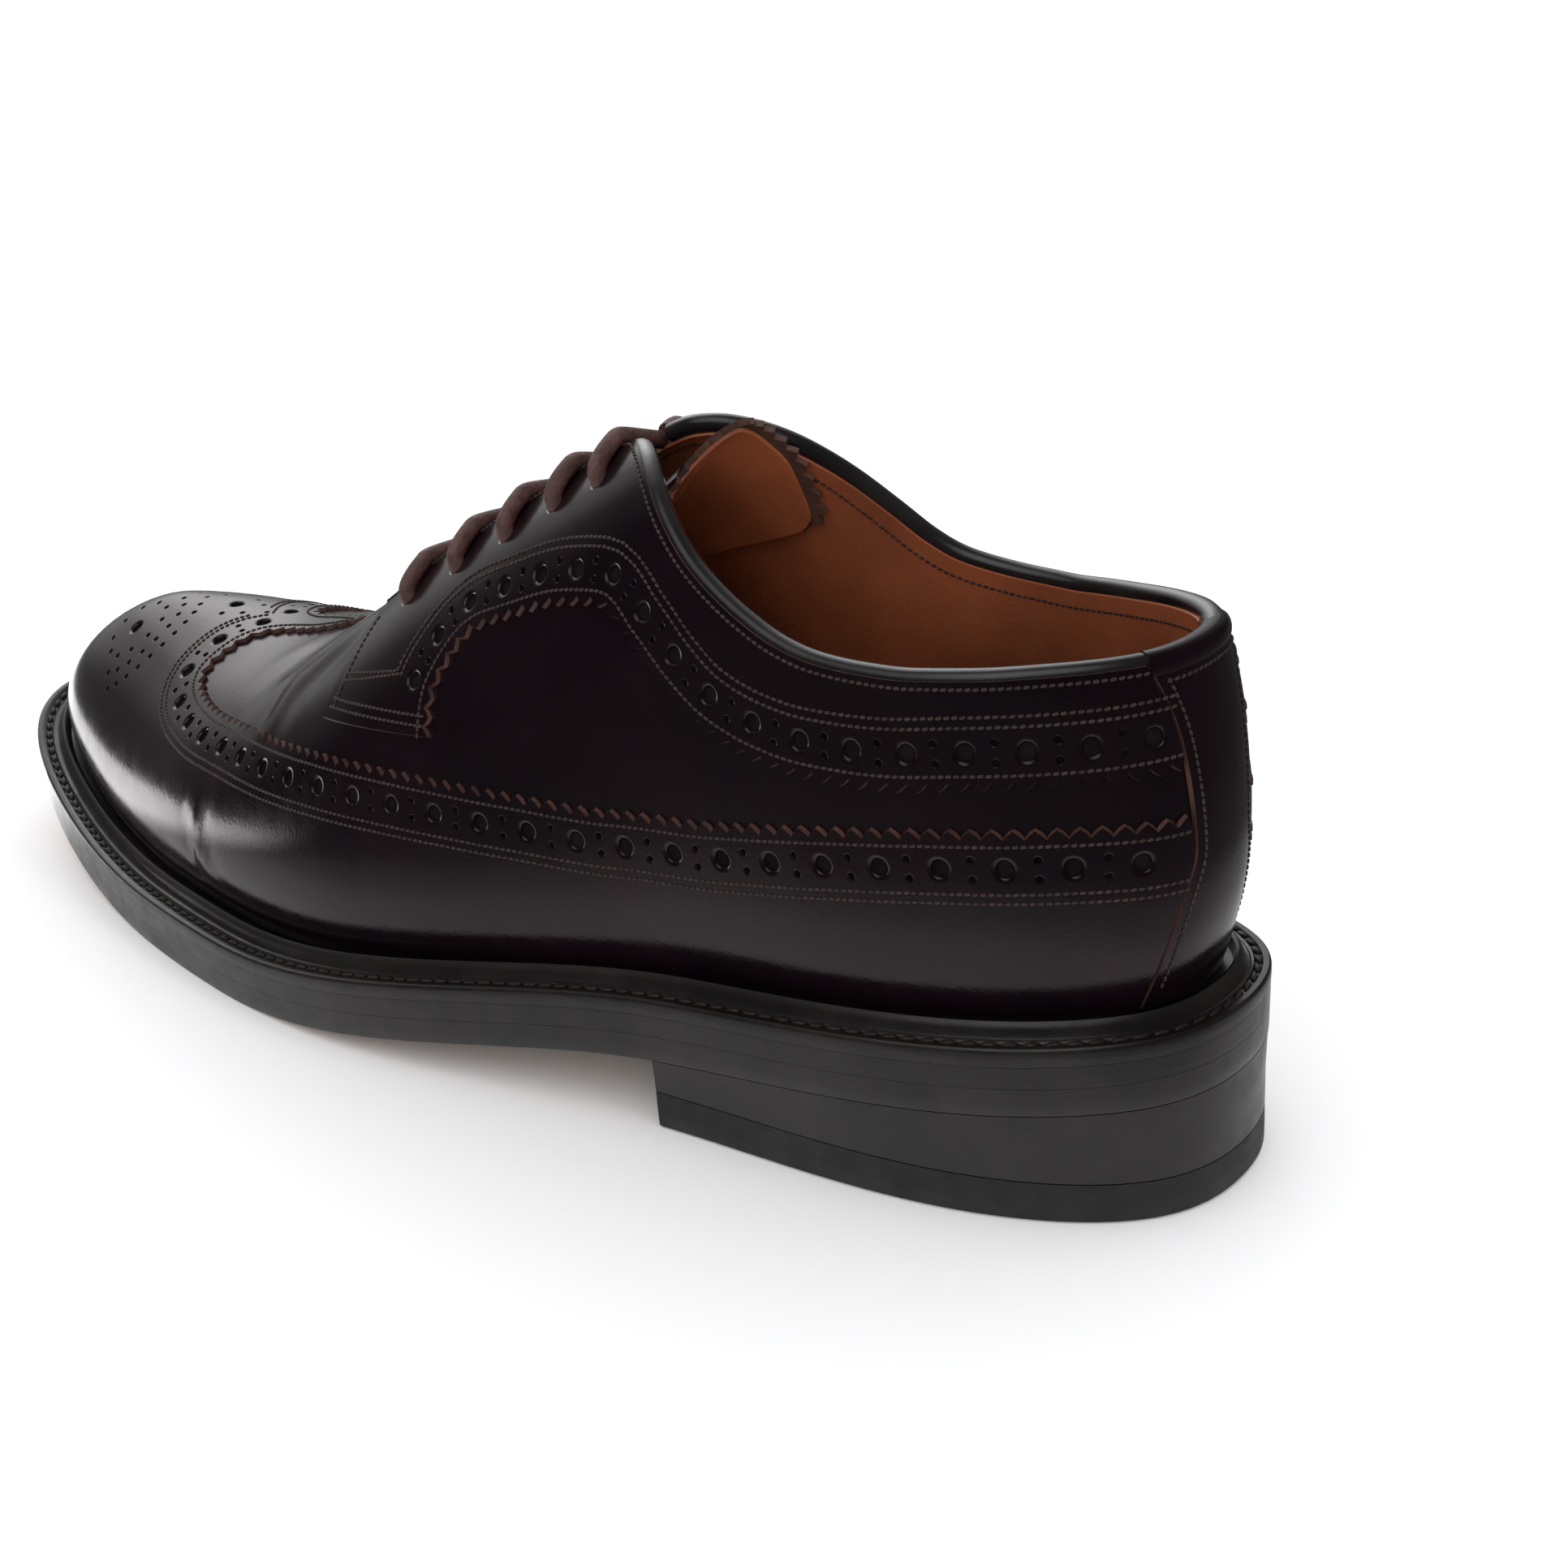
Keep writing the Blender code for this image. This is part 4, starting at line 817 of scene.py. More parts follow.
def grid_inside(loop, openings, rings):
    """Grid rows clear of a panel's edges and holes."""
    keep = inside(loop, LAST.grid_flat) & (clearance(loop, LAST.grid_flat) > EDGE_REACH)
    for opening in openings:
        keep &= ~inside(opening, LAST.grid_flat) & (clearance(opening, LAST.grid_flat) > EDGE_REACH)
    for ring in rings:
        points = LAST.place(ring, 0.0)
        centre = points.mean(axis=0)
        reach = np.linalg.norm(points - centre, axis=1).max() + HOLE_REACH
        keep &= np.linalg.norm(LAST.grid_points - centre, axis=1) > reach
    return LAST.grid[keep]


def triangulate(loop, openings, rings):
    """Chart rows, triangles and the place of each ring's points for a panel with openings and holes."""
    flats = [LAST.flat(line) for line in [loop] + openings]
    grid = grid_inside(flats[0], flats[1:], rings)
    charts, edges, starts = [], [], []
    count = 0
    for line in [loop] + openings + rings:
        starts.append(count)
        edges += [(count + i, count + (i + 1) % len(line)) for i in range(len(line))]
        charts.append(line)
        count += len(line)
    charts = np.concatenate(charts + [grid])
    spots = [Vector(spot) for spot in LAST.flat(charts)]
    found, _, faces, origins, _, _ = delaunay_2d_cdt(spots, edges, [], 1, 1e-6)
    found = np.array([tuple(spot) for spot in found])
    rows = LAST.unflat(found)
    index = {}
    for place, origin in enumerate(origins):
        for first in origin:
            index[first] = place
            rows[place] = charts[first]
    owner = np.full(len(found), -1)
    places = []
    for number, ring in enumerate(rings):
        start = starts[1 + len(openings) + number]
        places.append(np.array([index[start + i] for i in range(len(ring))]))
        owner[places[-1]] = number
    faces = np.array([tuple(face) for face in faces])
    middle = found[faces].mean(axis=1)
    keep = inside(flats[0], middle)
    for opening in flats[1:]:
        keep &= ~inside(opening, middle)
    held = owner[faces]
    keep &= ~((held[:, 0] >= 0) & (held[:, 0] == held[:, 1]) & (held[:, 1] == held[:, 2]))
    return rows, faces[keep], places, owner


def open_sides(faces, owner):
    """Directed sides that only one triangle has, without those of the punched holes."""
    sides = np.concatenate([faces[:, [0, 1]], faces[:, [1, 2]], faces[:, [2, 0]]])
    span = faces.max() + 1
    ahead, back = sides[:, 0] * span + sides[:, 1], sides[:, 1] * span + sides[:, 0]
    sides = sides[~np.isin(ahead, back)]
    first, second = owner[sides[:, 0]], owner[sides[:, 1]]
    return sides[(first < 0) | (first != second)]


def panel(name, loop, openings, punches, back, front, materials, sink=None, flare=0.0):
    """A closed sheet of leather on the last, or sunk under it; materials are face, cut edge, pit and back."""
    rows, faces, places, owner = triangulate(loop, openings, [rings[0][0] for rings in punches])
    count = len(rows)
    normal = LAST.read(rows)[1]
    depth = 0.0 if sink is None else sink(rows)
    points = [LAST.place(rows, front - depth), LAST.place(rows, back - depth)]
    sides = open_sides(faces, owner)
    points[1] = points[1] + flare * outwards(points[0], sides, normal)
    walls = [(a, a + count, b + count, b) for a, b in sides]
    pits, pit_slots, plugs = [], [], []
    total = 2 * count
    for rings, place in zip(punches, places):
        upper = place
        plugs.append(tuple(place[::-1] + count))
        for ring, depth in rings[1:]:
            lower = np.arange(len(ring)) + total
            total += len(ring)
            points.append(LAST.place(ring, front - depth))
            quads = zip(upper, np.roll(upper, -1), np.roll(lower, -1), lower)
            pits += [tuple(quad) for quad in quads]
            pit_slots += [FACE if depth < PIT_DEPTH else PIT] * len(ring)
            upper = lower
        pits.append(tuple(upper))
        pit_slots.append(PIT)
    polygons = [tuple(f) for f in faces] + [tuple(f[::-1] + count) for f in faces] + walls + pits + plugs
    slots = [FACE] * len(faces) + [BACK] * len(faces) + [CUT] * len(walls) + pit_slots + [BACK] * len(plugs)
    piece = mesh_piece(name, np.concatenate(points), polygons)
    piece.data.polygons.foreach_set("material_index", np.array(slots, dtype=np.int32))
    for material in materials:
        piece.data.materials.append(material)
    piece.data.polygons.foreach_set("use_smooth", np.ones(len(polygons), dtype=bool))
    piece.data.set_sharp_from_angle(angle=math.radians(SHARP_ANGLE))
    if sink is None:
        smooth_normals(piece.data, faces, normal)
    return piece


def outwards(points, sides, normal):
    """Directions out of a sheet at the points of its open sides, and nothing elsewhere."""
    lean = np.zeros_like(normal)
    across = unit(np.cross(points[sides[:, 1]] - points[sides[:, 0]], normal[sides[:, 0]]))
    for end in (0, 1):
        np.add.at(lean, sides[:, end], across)
    return unit(lean)


def smooth_normals(mesh, faces, normal):
    """The last's own normals on the face and back of a panel, so that its triangles don't show."""
    custom = np.zeros((len(mesh.loops), 3))
    front = faces.ravel()
    custom[:len(front)] = normal[front]
    custom[len(front):2 * len(front)] = -normal[faces[:, ::-1].ravel()]
    mesh.normals_split_custom_set(custom.tolist())


def in_frame(points):
    """Points in millimetres carried to the frame of the solids."""
    return (np.asarray(points) - SHIFT) * MM


def mesh_piece(name, points, polygons):
    """A named object from points in millimetres and polygons."""
    mesh = bpy.data.meshes.new(name)
    mesh.from_pydata(in_frame(points).tolist(), [], [[int(i) for i in polygon] for polygon in polygons])
    piece = bpy.data.objects.new(name, mesh)
    bpy.context.scene.collection.objects.link(piece)
    return piece


def start_fresh():
    """Nothing chosen, so that the next piece starts on its own."""
    bpy.ops.object.select_all(action="DESELECT")


def stitch_shape():
    """Points and faces of one stitch of unit size, modelled from a ball made fuller towards its ends."""
    start_fresh()
    bpy.ops.mesh.primitive_uv_sphere_add(segments=6, ring_count=5, radius=0.5,
                                         rotation=(0.0, math.pi / 2, 0.0))
    bpy.ops.object.transform_apply(location=False, rotation=True, scale=False)
    shape = bpy.context.object
    points = np.array([tuple(vertex.co) for vertex in shape.data.vertices])
    points[:, 0] = np.sign(points[:, 0]) * 0.5 * (2 * np.abs(points[:, 0])) ** STITCH_FULLNESS
    faces = [tuple(polygon.vertices) for polygon in shape.data.polygons]
    bpy.data.objects.remove(shape, do_unlink=True)
    return points, faces


def sewn(name, middles, aheads, normals, size, material):
    """Joined stitches at places in space; size is their length, width and height."""
    shape, faces = stitch_shape()
    beside = np.cross(normals, aheads)
    slant = math.radians(STITCH_SLANT)
    ahead = aheads * math.cos(slant) + beside * math.sin(slant)
    beside = np.cross(normals, ahead)
    scaled = shape * np.array(size)
    points = (middles[:, None, :] + scaled[None, :, 0:1] * ahead[:, None, :]
              + scaled[None, :, 1:2] * beside[:, None, :] + scaled[None, :, 2:3] * normals[:, None, :])
    polygons = [[i + k * len(shape) for i in face] for k in range(len(middles)) for face in faces]
    piece = mesh_piece(name, points.reshape(-1, 3), polygons)
    piece.data.materials.append(material)
    piece.data.polygons.foreach_set("use_smooth", np.ones(len(polygons), dtype=bool))
    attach(piece, BODY)
    return piece


def sew_lines(name, lines, offset):
    """Stitches along chart lines, on a layer of the upper at an offset."""
    pitch, width = sizes().stitch_pitch / MM, sizes().thread_width / MM
    middles, aheads, normals = [], [], []
    for line in lines:
        even = evened(line, pitch)
        point, normal = LAST.read(even)
        middles.append(point + normal * (offset + STITCH_SINK * width))
        aheads.append(unit(np.gradient(point, axis=0)))
        normals.append(normal)
    size = (pitch * STITCH_SHARE, width, width * STITCH_HEIGHT)
    outward = np.concatenate(normals) * (1.0 if offset > WALL_BACK else -1.0)
    return sewn(name, np.concatenate(middles), np.concatenate(aheads), outward, size, leather("Waxed thread"))


def put_chosen(piece, ring):
    """Moves the chosen vertices of a piece in edit mode to the points of a ring."""
    shaped = bmesh.from_edit_mesh(piece.data)
    chosen = [vertex for vertex in shaped.verts if vertex.select]
    for vertex, spot in zip(chosen, in_frame(ring)):
        vertex.co = spot
    bmesh.update_edit_mesh(piece.data)


def cap_faces(first, size):
    """Faces across a loop that starts at the heel's back and whose other points pair up."""
    faces = [(first, first + 1, first + size - 1)]
    near, far = 1, size - 1
    while far - near > 2:
        faces.append((first + near, first + near + 1, first + far - 1, first + far))
        near, far = near + 1, far - 1
    if far - near == 2:
        faces.append((first + near, first + near + 1, first + far))
    return faces


def loft(name, rings, closed):
    """A circle put on the first ring and extruded to each next one, then closed to itself or capped."""
    start_fresh()
    size = len(rings[0])
    bpy.ops.mesh.primitive_circle_add(vertices=size)
    piece = bpy.context.object
    piece.name = name
    bpy.ops.object.mode_set(mode="EDIT")
    bpy.ops.mesh.select_all(action="SELECT")
    put_chosen(piece, rings[0])
    for ring in rings[1:]:
        bpy.ops.mesh.extrude_edges_indiv()
        put_chosen(piece, ring)
    shaped = bmesh.from_edit_mesh(piece.data)
    shaped.verts.ensure_lookup_table()
    last = (len(rings) - 1) * size
    if closed:
        ends = [(last + i, last + (i + 1) % size, (i + 1) % size, i) for i in range(size)]
    else:
        ends = cap_faces(0, size) + cap_faces(last, size)
    for face in ends:
        shaped.faces.new([shaped.verts[i] for i in face])
    bmesh.update_edit_mesh(piece.data)
    bpy.ops.mesh.select_all(action="SELECT")
    bpy.ops.mesh.normals_make_consistent(inside=False)
    bpy.ops.object.mode_set(mode="OBJECT")
    bpy.ops.object.shade_smooth_by_angle(angle=math.radians(SHARP_ANGLE))
    return piece


def cord(name, path, radius):
    """A round cord: a path curve through points in millimetres, thickened and turned to a mesh."""
    start_fresh()
    bpy.ops.curve.primitive_nurbs_path_add()
    piece = bpy.context.object
    piece.name = name
    curve = piece.data
    line = curve.splines[0]
    line.points.add(len(path) - len(line.points))
    for point, spot in zip(line.points, in_frame(path)):
        point.co = (*spot, 1.0)
    line.order_u = 4
    line.use_endpoint_u = True
    line.resolution_u = CORD_RESOLUTION
    curve.bevel_depth = radius * MM
    curve.bevel_resolution = CORD_RESOLUTION
    curve.use_fill_caps = True
    bpy.ops.object.convert(target="MESH")
    piece = bpy.context.object
    piece.data.name = name
    bpy.ops.object.shade_smooth_by_angle(angle=math.radians(SHARP_ANGLE))
    return piece


def dress(piece, material, nodes):
    """Gives a finished piece its material and body, and hides the nodes of the solids that it stands for."""
    if material is not None:
        piece.data.materials.clear()
        piece.data.materials.append(material)
    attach(piece, BODY)
    if nodes:
        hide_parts(*nodes)


def add_node(tree, kind, values=None, **settings):
    """A shader node with its settings and socket values."""
    node = tree.nodes.new(kind)
    for key, value in settings.items():
        setattr(node, key, value)
    for key, value in (values or {}).items():
        node.inputs[key].default_value = value
    return node


def solid_colour(rgb):
    return (*rgb, 1.0)


def shaded(key, share):
    """One of the colours in the panel, darker or lighter by a share."""
    return solid_colour(np.array(getattr(colours(), key)) * share)


def set_ramp(ramp, stops):
    """Puts grey stops on a colour ramp from 0 to 1, columns: place, level."""
    ramp.interpolation = "EASE"
    greys = [(level, level, level * LIGHT_TINT, 1.0) for _, level in stops]
    ramp.elements[0].color = greys[0]
    ramp.elements[-1].color = greys[-1]
    for (at, _), grey in zip(stops[1:-1], greys[1:-1]):
        ramp.elements.new(at).color = grey


def new_group(name, inputs, outputs):
    """An empty shader group with named float and vector sockets."""
    tree = bpy.data.node_groups.new(name, "ShaderNodeTree")
    for label, kind in inputs:
        tree.interface.new_socket(label, in_out="INPUT", socket_type=kind)
    for label in outputs:
        tree.interface.new_socket(label, in_out="OUTPUT", socket_type="NodeSocketFloat")
    return tree, tree.nodes.new("NodeGroupInput"), tree.nodes.new("NodeGroupOutput")


def grain_group():
    """Grain shared by all leathers: slow tone, gloss patches, and the height of pores and fine lines."""
    if "Leather grain" in bpy.data.node_groups:
        return bpy.data.node_groups["Leather grain"]
    inputs = [("Vector", "NodeSocketVector"), ("Pores", "NodeSocketFloat"), ("Patches", "NodeSocketFloat")]
    tree, start, end = new_group("Leather grain", inputs, ["Tone", "Gloss", "Height"])
    wire = tree.links.new
    slow = add_node(tree, "ShaderNodeTexNoise", {"Detail": 3.0, "Roughness": 0.55})
    patches = add_node(tree, "ShaderNodeTexNoise", {"Scale": 210.0, "Detail": 2.0})
    pores = add_node(tree, "ShaderNodeTexVoronoi", feature="F1")
    lines = add_node(tree, "ShaderNodeTexNoise", {"Detail": 4.0, "Roughness": 0.6})
    finer = add_node(tree, "ShaderNodeMath", {1: LINE_SCALE}, operation="MULTIPLY")
    total = add_node(tree, "ShaderNodeMath", {1: PORE_DEPTH}, operation="MULTIPLY_ADD")
    for node in (slow, patches, pores, lines):
        wire(start.outputs["Vector"], node.inputs["Vector"])
    wire(start.outputs["Patches"], slow.inputs["Scale"])
    wire(start.outputs["Pores"], pores.inputs["Scale"])
    wire(start.outputs["Pores"], finer.inputs[0])
    wire(finer.outputs[0], lines.inputs["Scale"])
    wire(pores.outputs["Distance"], total.inputs[0])
    wire(lines.outputs[0], total.inputs[2])
    wire(slow.outputs[0], end.inputs["Tone"])
    wire(patches.outputs[0], end.inputs["Gloss"])
    wire(total.outputs[0], end.inputs["Height"])
    return tree


def leather(name):
    """A grained leather of the table, between its two colours."""
    if name in bpy.data.materials:
        return bpy.data.materials[name]
    dark, dark_share, light, light_share, pores, patches, low, high, bump, coat = LEATHERS[name]
    material = bpy.data.materials.new(name)
    material.use_nodes = True
    tree = material.node_tree
    wire = tree.links.new
    shader = tree.nodes["Principled BSDF"]
    place = add_node(tree, "ShaderNodeTexCoord")
    grain = add_node(tree, "ShaderNodeGroup", node_tree=grain_group())
    grain.inputs["Pores"].default_value = pores
    grain.inputs["Patches"].default_value = patches
    spread = add_node(tree, "ShaderNodeMapRange", {"From Min": 0.36, "From Max": 0.66})
    tones = {6: shaded(dark, dark_share), 7: shaded(light, light_share)}
    tint = add_node(tree, "ShaderNodeMix", tones, data_type="RGBA")
    span = {"From Min": 0.3, "From Max": 0.7, "To Min": low, "To Max": high}
    gloss = add_node(tree, "ShaderNodeMapRange", span)
    relief = add_node(tree, "ShaderNodeBump", {"Strength": bump, "Distance": GRAIN_DEPTH})
    wire(place.outputs["Object"], grain.inputs["Vector"])
    wire(grain.outputs["Tone"], spread.inputs["Value"])
    wire(spread.outputs[0], tint.inputs[0])
    wire(tint.outputs[2], shader.inputs["Base Color"])
    wire(grain.outputs["Gloss"], gloss.inputs["Value"])
    wire(gloss.outputs[0], shader.inputs["Roughness"])
    wire(grain.outputs["Height"], relief.inputs["Height"])
    wire(relief.outputs[0], shader.inputs["Normal"])
    shader.inputs["Coat Weight"].default_value = coat
    shader.inputs["Coat Roughness"].default_value = COAT_ROUGHNESS
    return material


def upper_material():
    """Glazed leather whose polish is tinted by the cherry finish."""
    material = leather("Polished cherry leather")
    shader = material.node_tree.nodes["Principled BSDF"]
    shader.inputs["Specular Tint"].default_value = solid_colour(colours().polish)
    return material


def pit_material():
    """Raw leather at the bottom of a hole, without polish."""
    material = leather("Punched hole")
    material.node_tree.nodes["Principled BSDF"].inputs["Specular IOR Level"].default_value = RAW_GLOSS
    return material


def lining_material():
    """Tan lining with painted shade: its colour darkens downwards towards the insole."""
    name = "Tan lining"
    if name in bpy.data.materials:
        return bpy.data.materials[name]
    material = leather(name)
    tree = material.node_tree
    wire = tree.links.new
    # Painted shade: the lining's colour is scaled darker lower down in the shoe, where shade falls inside it
    shade_low_z, shade_high_z, shade_tone = LINING_PAINTED_SHADE
    place = add_node(tree, "ShaderNodeSeparateXYZ")
    span = {"From Min": shade_low_z, "From Max": shade_high_z, "To Min": shade_tone}
    painted_shade = add_node(tree, "ShaderNodeMapRange", span)
    toned = add_node(tree, "ShaderNodeVectorMath", operation="SCALE")
    wire(tree.nodes["Texture Coordinate"].outputs["Object"], place.inputs[0])
    wire(place.outputs["Z"], painted_shade.inputs["Value"])
    wire(tree.nodes["Mix"].outputs[2], toned.inputs[0])
    wire(painted_shade.outputs[0], toned.inputs["Scale"])
    wire(toned.outputs["Vector"], tree.nodes["Principled BSDF"].inputs["Base Color"])
    return material


def edge_material():
    """Inked sole edge with faint streaks along its layers."""
    name = "Inked sole edge"
    if name in bpy.data.materials:
        return bpy.data.materials[name]
    material = leather(name)
    tree = material.node_tree
    wire = tree.links.new
    relief = tree.nodes["Bump"]
    stretch = add_node(tree, "ShaderNodeMapping", {"Scale": STREAK_SCALE})
    streaks = add_node(tree, "ShaderNodeTexNoise", {"Scale": 1.0, "Detail": 3.0})
    sharper = add_node(tree, "ShaderNodeBump", {"Strength": STREAK_STRENGTH, "Distance": GRAIN_DEPTH})
    wire(tree.nodes["Texture Coordinate"].outputs["Object"], stretch.inputs["Vector"])
    wire(stretch.outputs[0], streaks.inputs["Vector"])
    wire(streaks.outputs[0], sharper.inputs["Height"])
    wire(relief.outputs[0], sharper.inputs["Normal"])
    wire(sharper.outputs[0], tree.nodes["Principled BSDF"].inputs["Normal"])
    return material


def panel_materials(back):
    return [upper_material(), leather("Cut leather edge"), pit_material(), back]


def collar_loop():
    """The opening of the upper: collar, lace edges and throat."""
    near = chart_curve(TOP_EDGE)
    far = LAST.mirrored(chart_curve(MEDIAL_TOP_EDGE))
    throat = ridge_point(THROAT_Y, False)
    return joined([near, straight(near[-1], throat[0]),
                   straight(ridge_point(THROAT_Y, True)[0], far[0]), far[:-1]])


def feather_loop(rise):
    station = np.arange(0.0, LAST.length, LOOP_STEP)
    return np.column_stack([station, np.full(len(station), rise)])


def strap_line(gap):
    return chart_curve(STRAP_EDGE) + np.array([gap, 0.0])


def ahead_of_strap(line):
    """The part of a lateral line in front of the back strap."""
    strap = np.array(STRAP_EDGE)
    limit = np.interp(line[:, 1], strap[:, 1], strap[:, 0]) + STRAP_GAP
    return line[line[:, 0] > limit]


def between(line, low, high):
    return line[(line[:, 1] > low) & (line[:, 1] < high)]


def eyelets(table):
    """Chart rows of the lace holes under a lace edge."""
    rise = np.interp(EYELET_STATIONS, *np.array(table).T) - EYELET_BELOW_EDGE
    return np.column_stack([EYELET_STATIONS, rise])


def both_sides(rows):
    return np.concatenate([rows, LAST.mirrored(rows)])


def brogue_holes(line, pitch):
    """Chart rows of the big holes along a line and of the pairs of small holes between them."""
    total = walked(line)[-1]
    count = int(round(total / pitch))
    at = np.linspace(0.0, total, count + 1)
    big = read_line(line, at)
    middles = (at[1:] + at[:-1]) / 2
    places = np.linspace(0.0, total, CURVE_SAMPLES)
    dense = read_line(line, places)
    pairs = []
    for distance in (PAIR_SPREAD, -PAIR_SPREAD):
        beside = aside(dense, distance)
        pairs.append(np.column_stack([np.interp(middles, places, beside[:, c]) for c in (0, 1)]))
    return big, np.concatenate(pairs)


def big_punches(rows):
    return [punch(row, sizes().big_hole / MM, BIG_RIM, BIG_SIDES) for row in rows]


def small_punches(rows):
    return [punch(row, sizes().small_hole / MM, SMALL_RIM, SMALL_SIDES) for row in rows]


class SHOE_OT_upper(bpy.types.Operator):
    """Add the hollow wall of the upper and its lining"""
    bl_idname = "shoe.add_upper"
    bl_label = "Upper and lining"

    def execute(self, context):
        opening = collar_loop()
        wall = panel("upper_wall", feather_loop(0.0), [opening], [], WALL_BACK, WALL_FRONT,
                     panel_materials(leather("Flesh side")))
        dress(wall, None, ["upper"])
        lining = panel("upper_lining", feather_loop(LINING_FOOT), [opening], [], LINING_BACK, LINING_FRONT,
                       [lining_material()] * 4)
        dress(lining, None, [])
        near, far = [aside(ahead_of_strap(chart_curve(table)), LINING_ROW)
                     for table in (TOP_EDGE, MEDIAL_TOP_EDGE)]
        sew_lines("lining_stitches", [near, LAST.mirrored(far)], LINING_BACK)
        return {"FINISHED"}


class SHOE_OT_wing(bpy.types.Operator):
    """Add the long wing cap with its gimped edge, broguing, medallion and stitch rows"""
    bl_idname = "shoe.add_wing"
    bl_label = "Wing cap"

    def execute(self, context):
        edge = ahead_of_strap(np.concatenate([chart_curve(WING_EDGE), ridge_point(BEAK_Y, False)]))
        cut = gimped(edge)
        cut[-1] = edge[-1]
        strap = between(strap_line(STRAP_GAP), LOOP_STEP, cut[0, 1] - LOOP_STEP)
        foot = STRAP_EDGE[0][0] + STRAP_GAP
        far_foot = float(LAST.medial_station(np.array([foot]))[0])
        feather = np.arange(foot, far_foot, LOOP_STEP)
        loop = joined([np.column_stack([feather, np.zeros(len(feather))]), LAST.mirrored(strap)[::-1],
                       LAST.mirrored(cut)[::-1], cut[::-1], strap[::-1]])
        wing = panel("wing_cap_leather", loop, [], self.punches(edge), OVERLAY_BACK, 0.0,
                     panel_materials(upper_material()), flare=EDGE_FLARE)
        dress(wing, None, ["wing_cap"])
        rows = [self.short_of_ridge(aside(edge, distance)) for distance in WING_ROWS]
        sew_lines("wing_stitches", rows + [LAST.mirrored(row) for row in rows], 0.0)
        return {"FINISHED"}

    def short_of_ridge(self, line):
        return line[line[:, 1] < LAST.top_rise(line[:, 0]) - RIDGE_REACH]

    def punches(self, edge):
        line = self.short_of_ridge(aside(edge, WING_HOLES))
        line = read_line(line, np.linspace(HOLE_START, walked(line)[-1] - HOLE_END, CURVE_SAMPLES))
        big, small = brogue_holes(line, sizes().wing_hole_pitch / MM)
        return big_punches(both_sides(big)) + small_punches(both_sides(small)) + self.medallion()

    def medallion(self):
        """Three big holes and arcs of small ones, the same on both sides of the ridge."""
        side = MEDALLION_BIG[1]
        small = list(MEDALLION_LOOSE)
        for radius, first, last, count in MEDALLION_ARCS:
            for angle in np.radians(np.linspace(first, last, count)):
                small.append((side[0] + radius * math.cos(angle), side[1] + radius * math.sin(angle)))
        made = []
        for spots, radius, rim, sides in ((MEDALLION_BIG, sizes().big_hole, BIG_RIM, BIG_SIDES),
                                          (small, sizes().small_hole, SMALL_RIM, SMALL_SIDES)):
            for across, y in spots:
                for turn in ((1.0, -1.0) if across else (1.0,)):
                    spot = (MEDALLION_AXIS_X + across * turn, y)
                    made.append(flat_punch(spot, radius / MM, rim, sides))
        return made


class SHOE_OT_facings(bpy.types.Operator):
    """Add both facings with lace holes, gimped lower edge, broguing and stitch rows"""
    bl_idname = "shoe.add_facings"
    bl_label = "Facings"

    def execute(self, context):
        edge = ahead_of_strap(chart_curve(FACING_EDGE))
        big, small = self.holes(edge)
        rows = []
        for node, table, carried in (("facing_lateral", TOP_EDGE, np.array),
                                     ("facing_medial", MEDIAL_TOP_EDGE, LAST.mirrored)):
            top = ahead_of_strap(chart_curve(table))
            strap = between(strap_line(STRAP_GAP), edge[-1, 1] + LOOP_STEP, top[0, 1] - LOOP_STEP)
            tab = [straight(top[-1], TAB_FRONT), straight(TAB_FRONT, edge[0])]
            loop = joined([top] + tab + [gimped(edge), strap])
            holes = [punch(row, EYELET_RADIUS, EYELET_RIM, BIG_SIDES) for row in carried(eyelets(table))]
            holes += big_punches(carried(big)) + small_punches(carried(small))
            facing = panel(node + "_leather", carried(loop), [], holes, OVERLAY_BACK, 0.0,
                           panel_materials(upper_material()), flare=EDGE_FLARE)
            dress(facing, None, [node])
            rows += [carried(row) for row in self.rows(edge, top)]
        sew_lines("facing_stitches", rows, 0.0)
        return {"FINISHED"}

    def holes(self, edge):
        line = aside(edge, FACING_HOLES)
        line = line[(line[:, 1] > TAB_HOLES_FROM) | (line[:, 0] < TAB_ROW_STATION)]
        line = read_line(line, np.linspace(0.0, walked(line)[-1] - COLLAR_HOLE_END, CURVE_SAMPLES))
        return brogue_holes(line, sizes().collar_hole_pitch / MM)

    def rows(self, edge, top):
        """Chart lines of the stitch rows of one facing."""
        first = np.array(TAB_FRONT)
        rows = [aside(edge, FACING_ROWS[0]), aside(top, COLLAR_ROW)]
        for distance, start, level in zip(FACING_ROWS[1:], TAB_ROWS, TAB_ROW_RISES):
            arch = aside(edge, distance)
            arch = arch[(arch[:, 1] > level) | (arch[:, 0] < TAB_ROW_STATION)]
            rows.append(np.concatenate([straight(first + np.array(start), arch[0])[:-1], arch]))
        station = TAB_FRONT[0] - FRONT_ROW
        rows.append(straight((station, FRONT_ROW_TOP), (station, TAB_FRONT[1] + TAB_END)))
        for climb in TAB_FOOT_ROWS:
            rows.append(straight((TAB_FRONT[0] - TAB_END, TAB_FRONT[1] + climb),
                                 (edge[0, 0] + TAB_END, edge[0, 1] + climb)))
        return rows


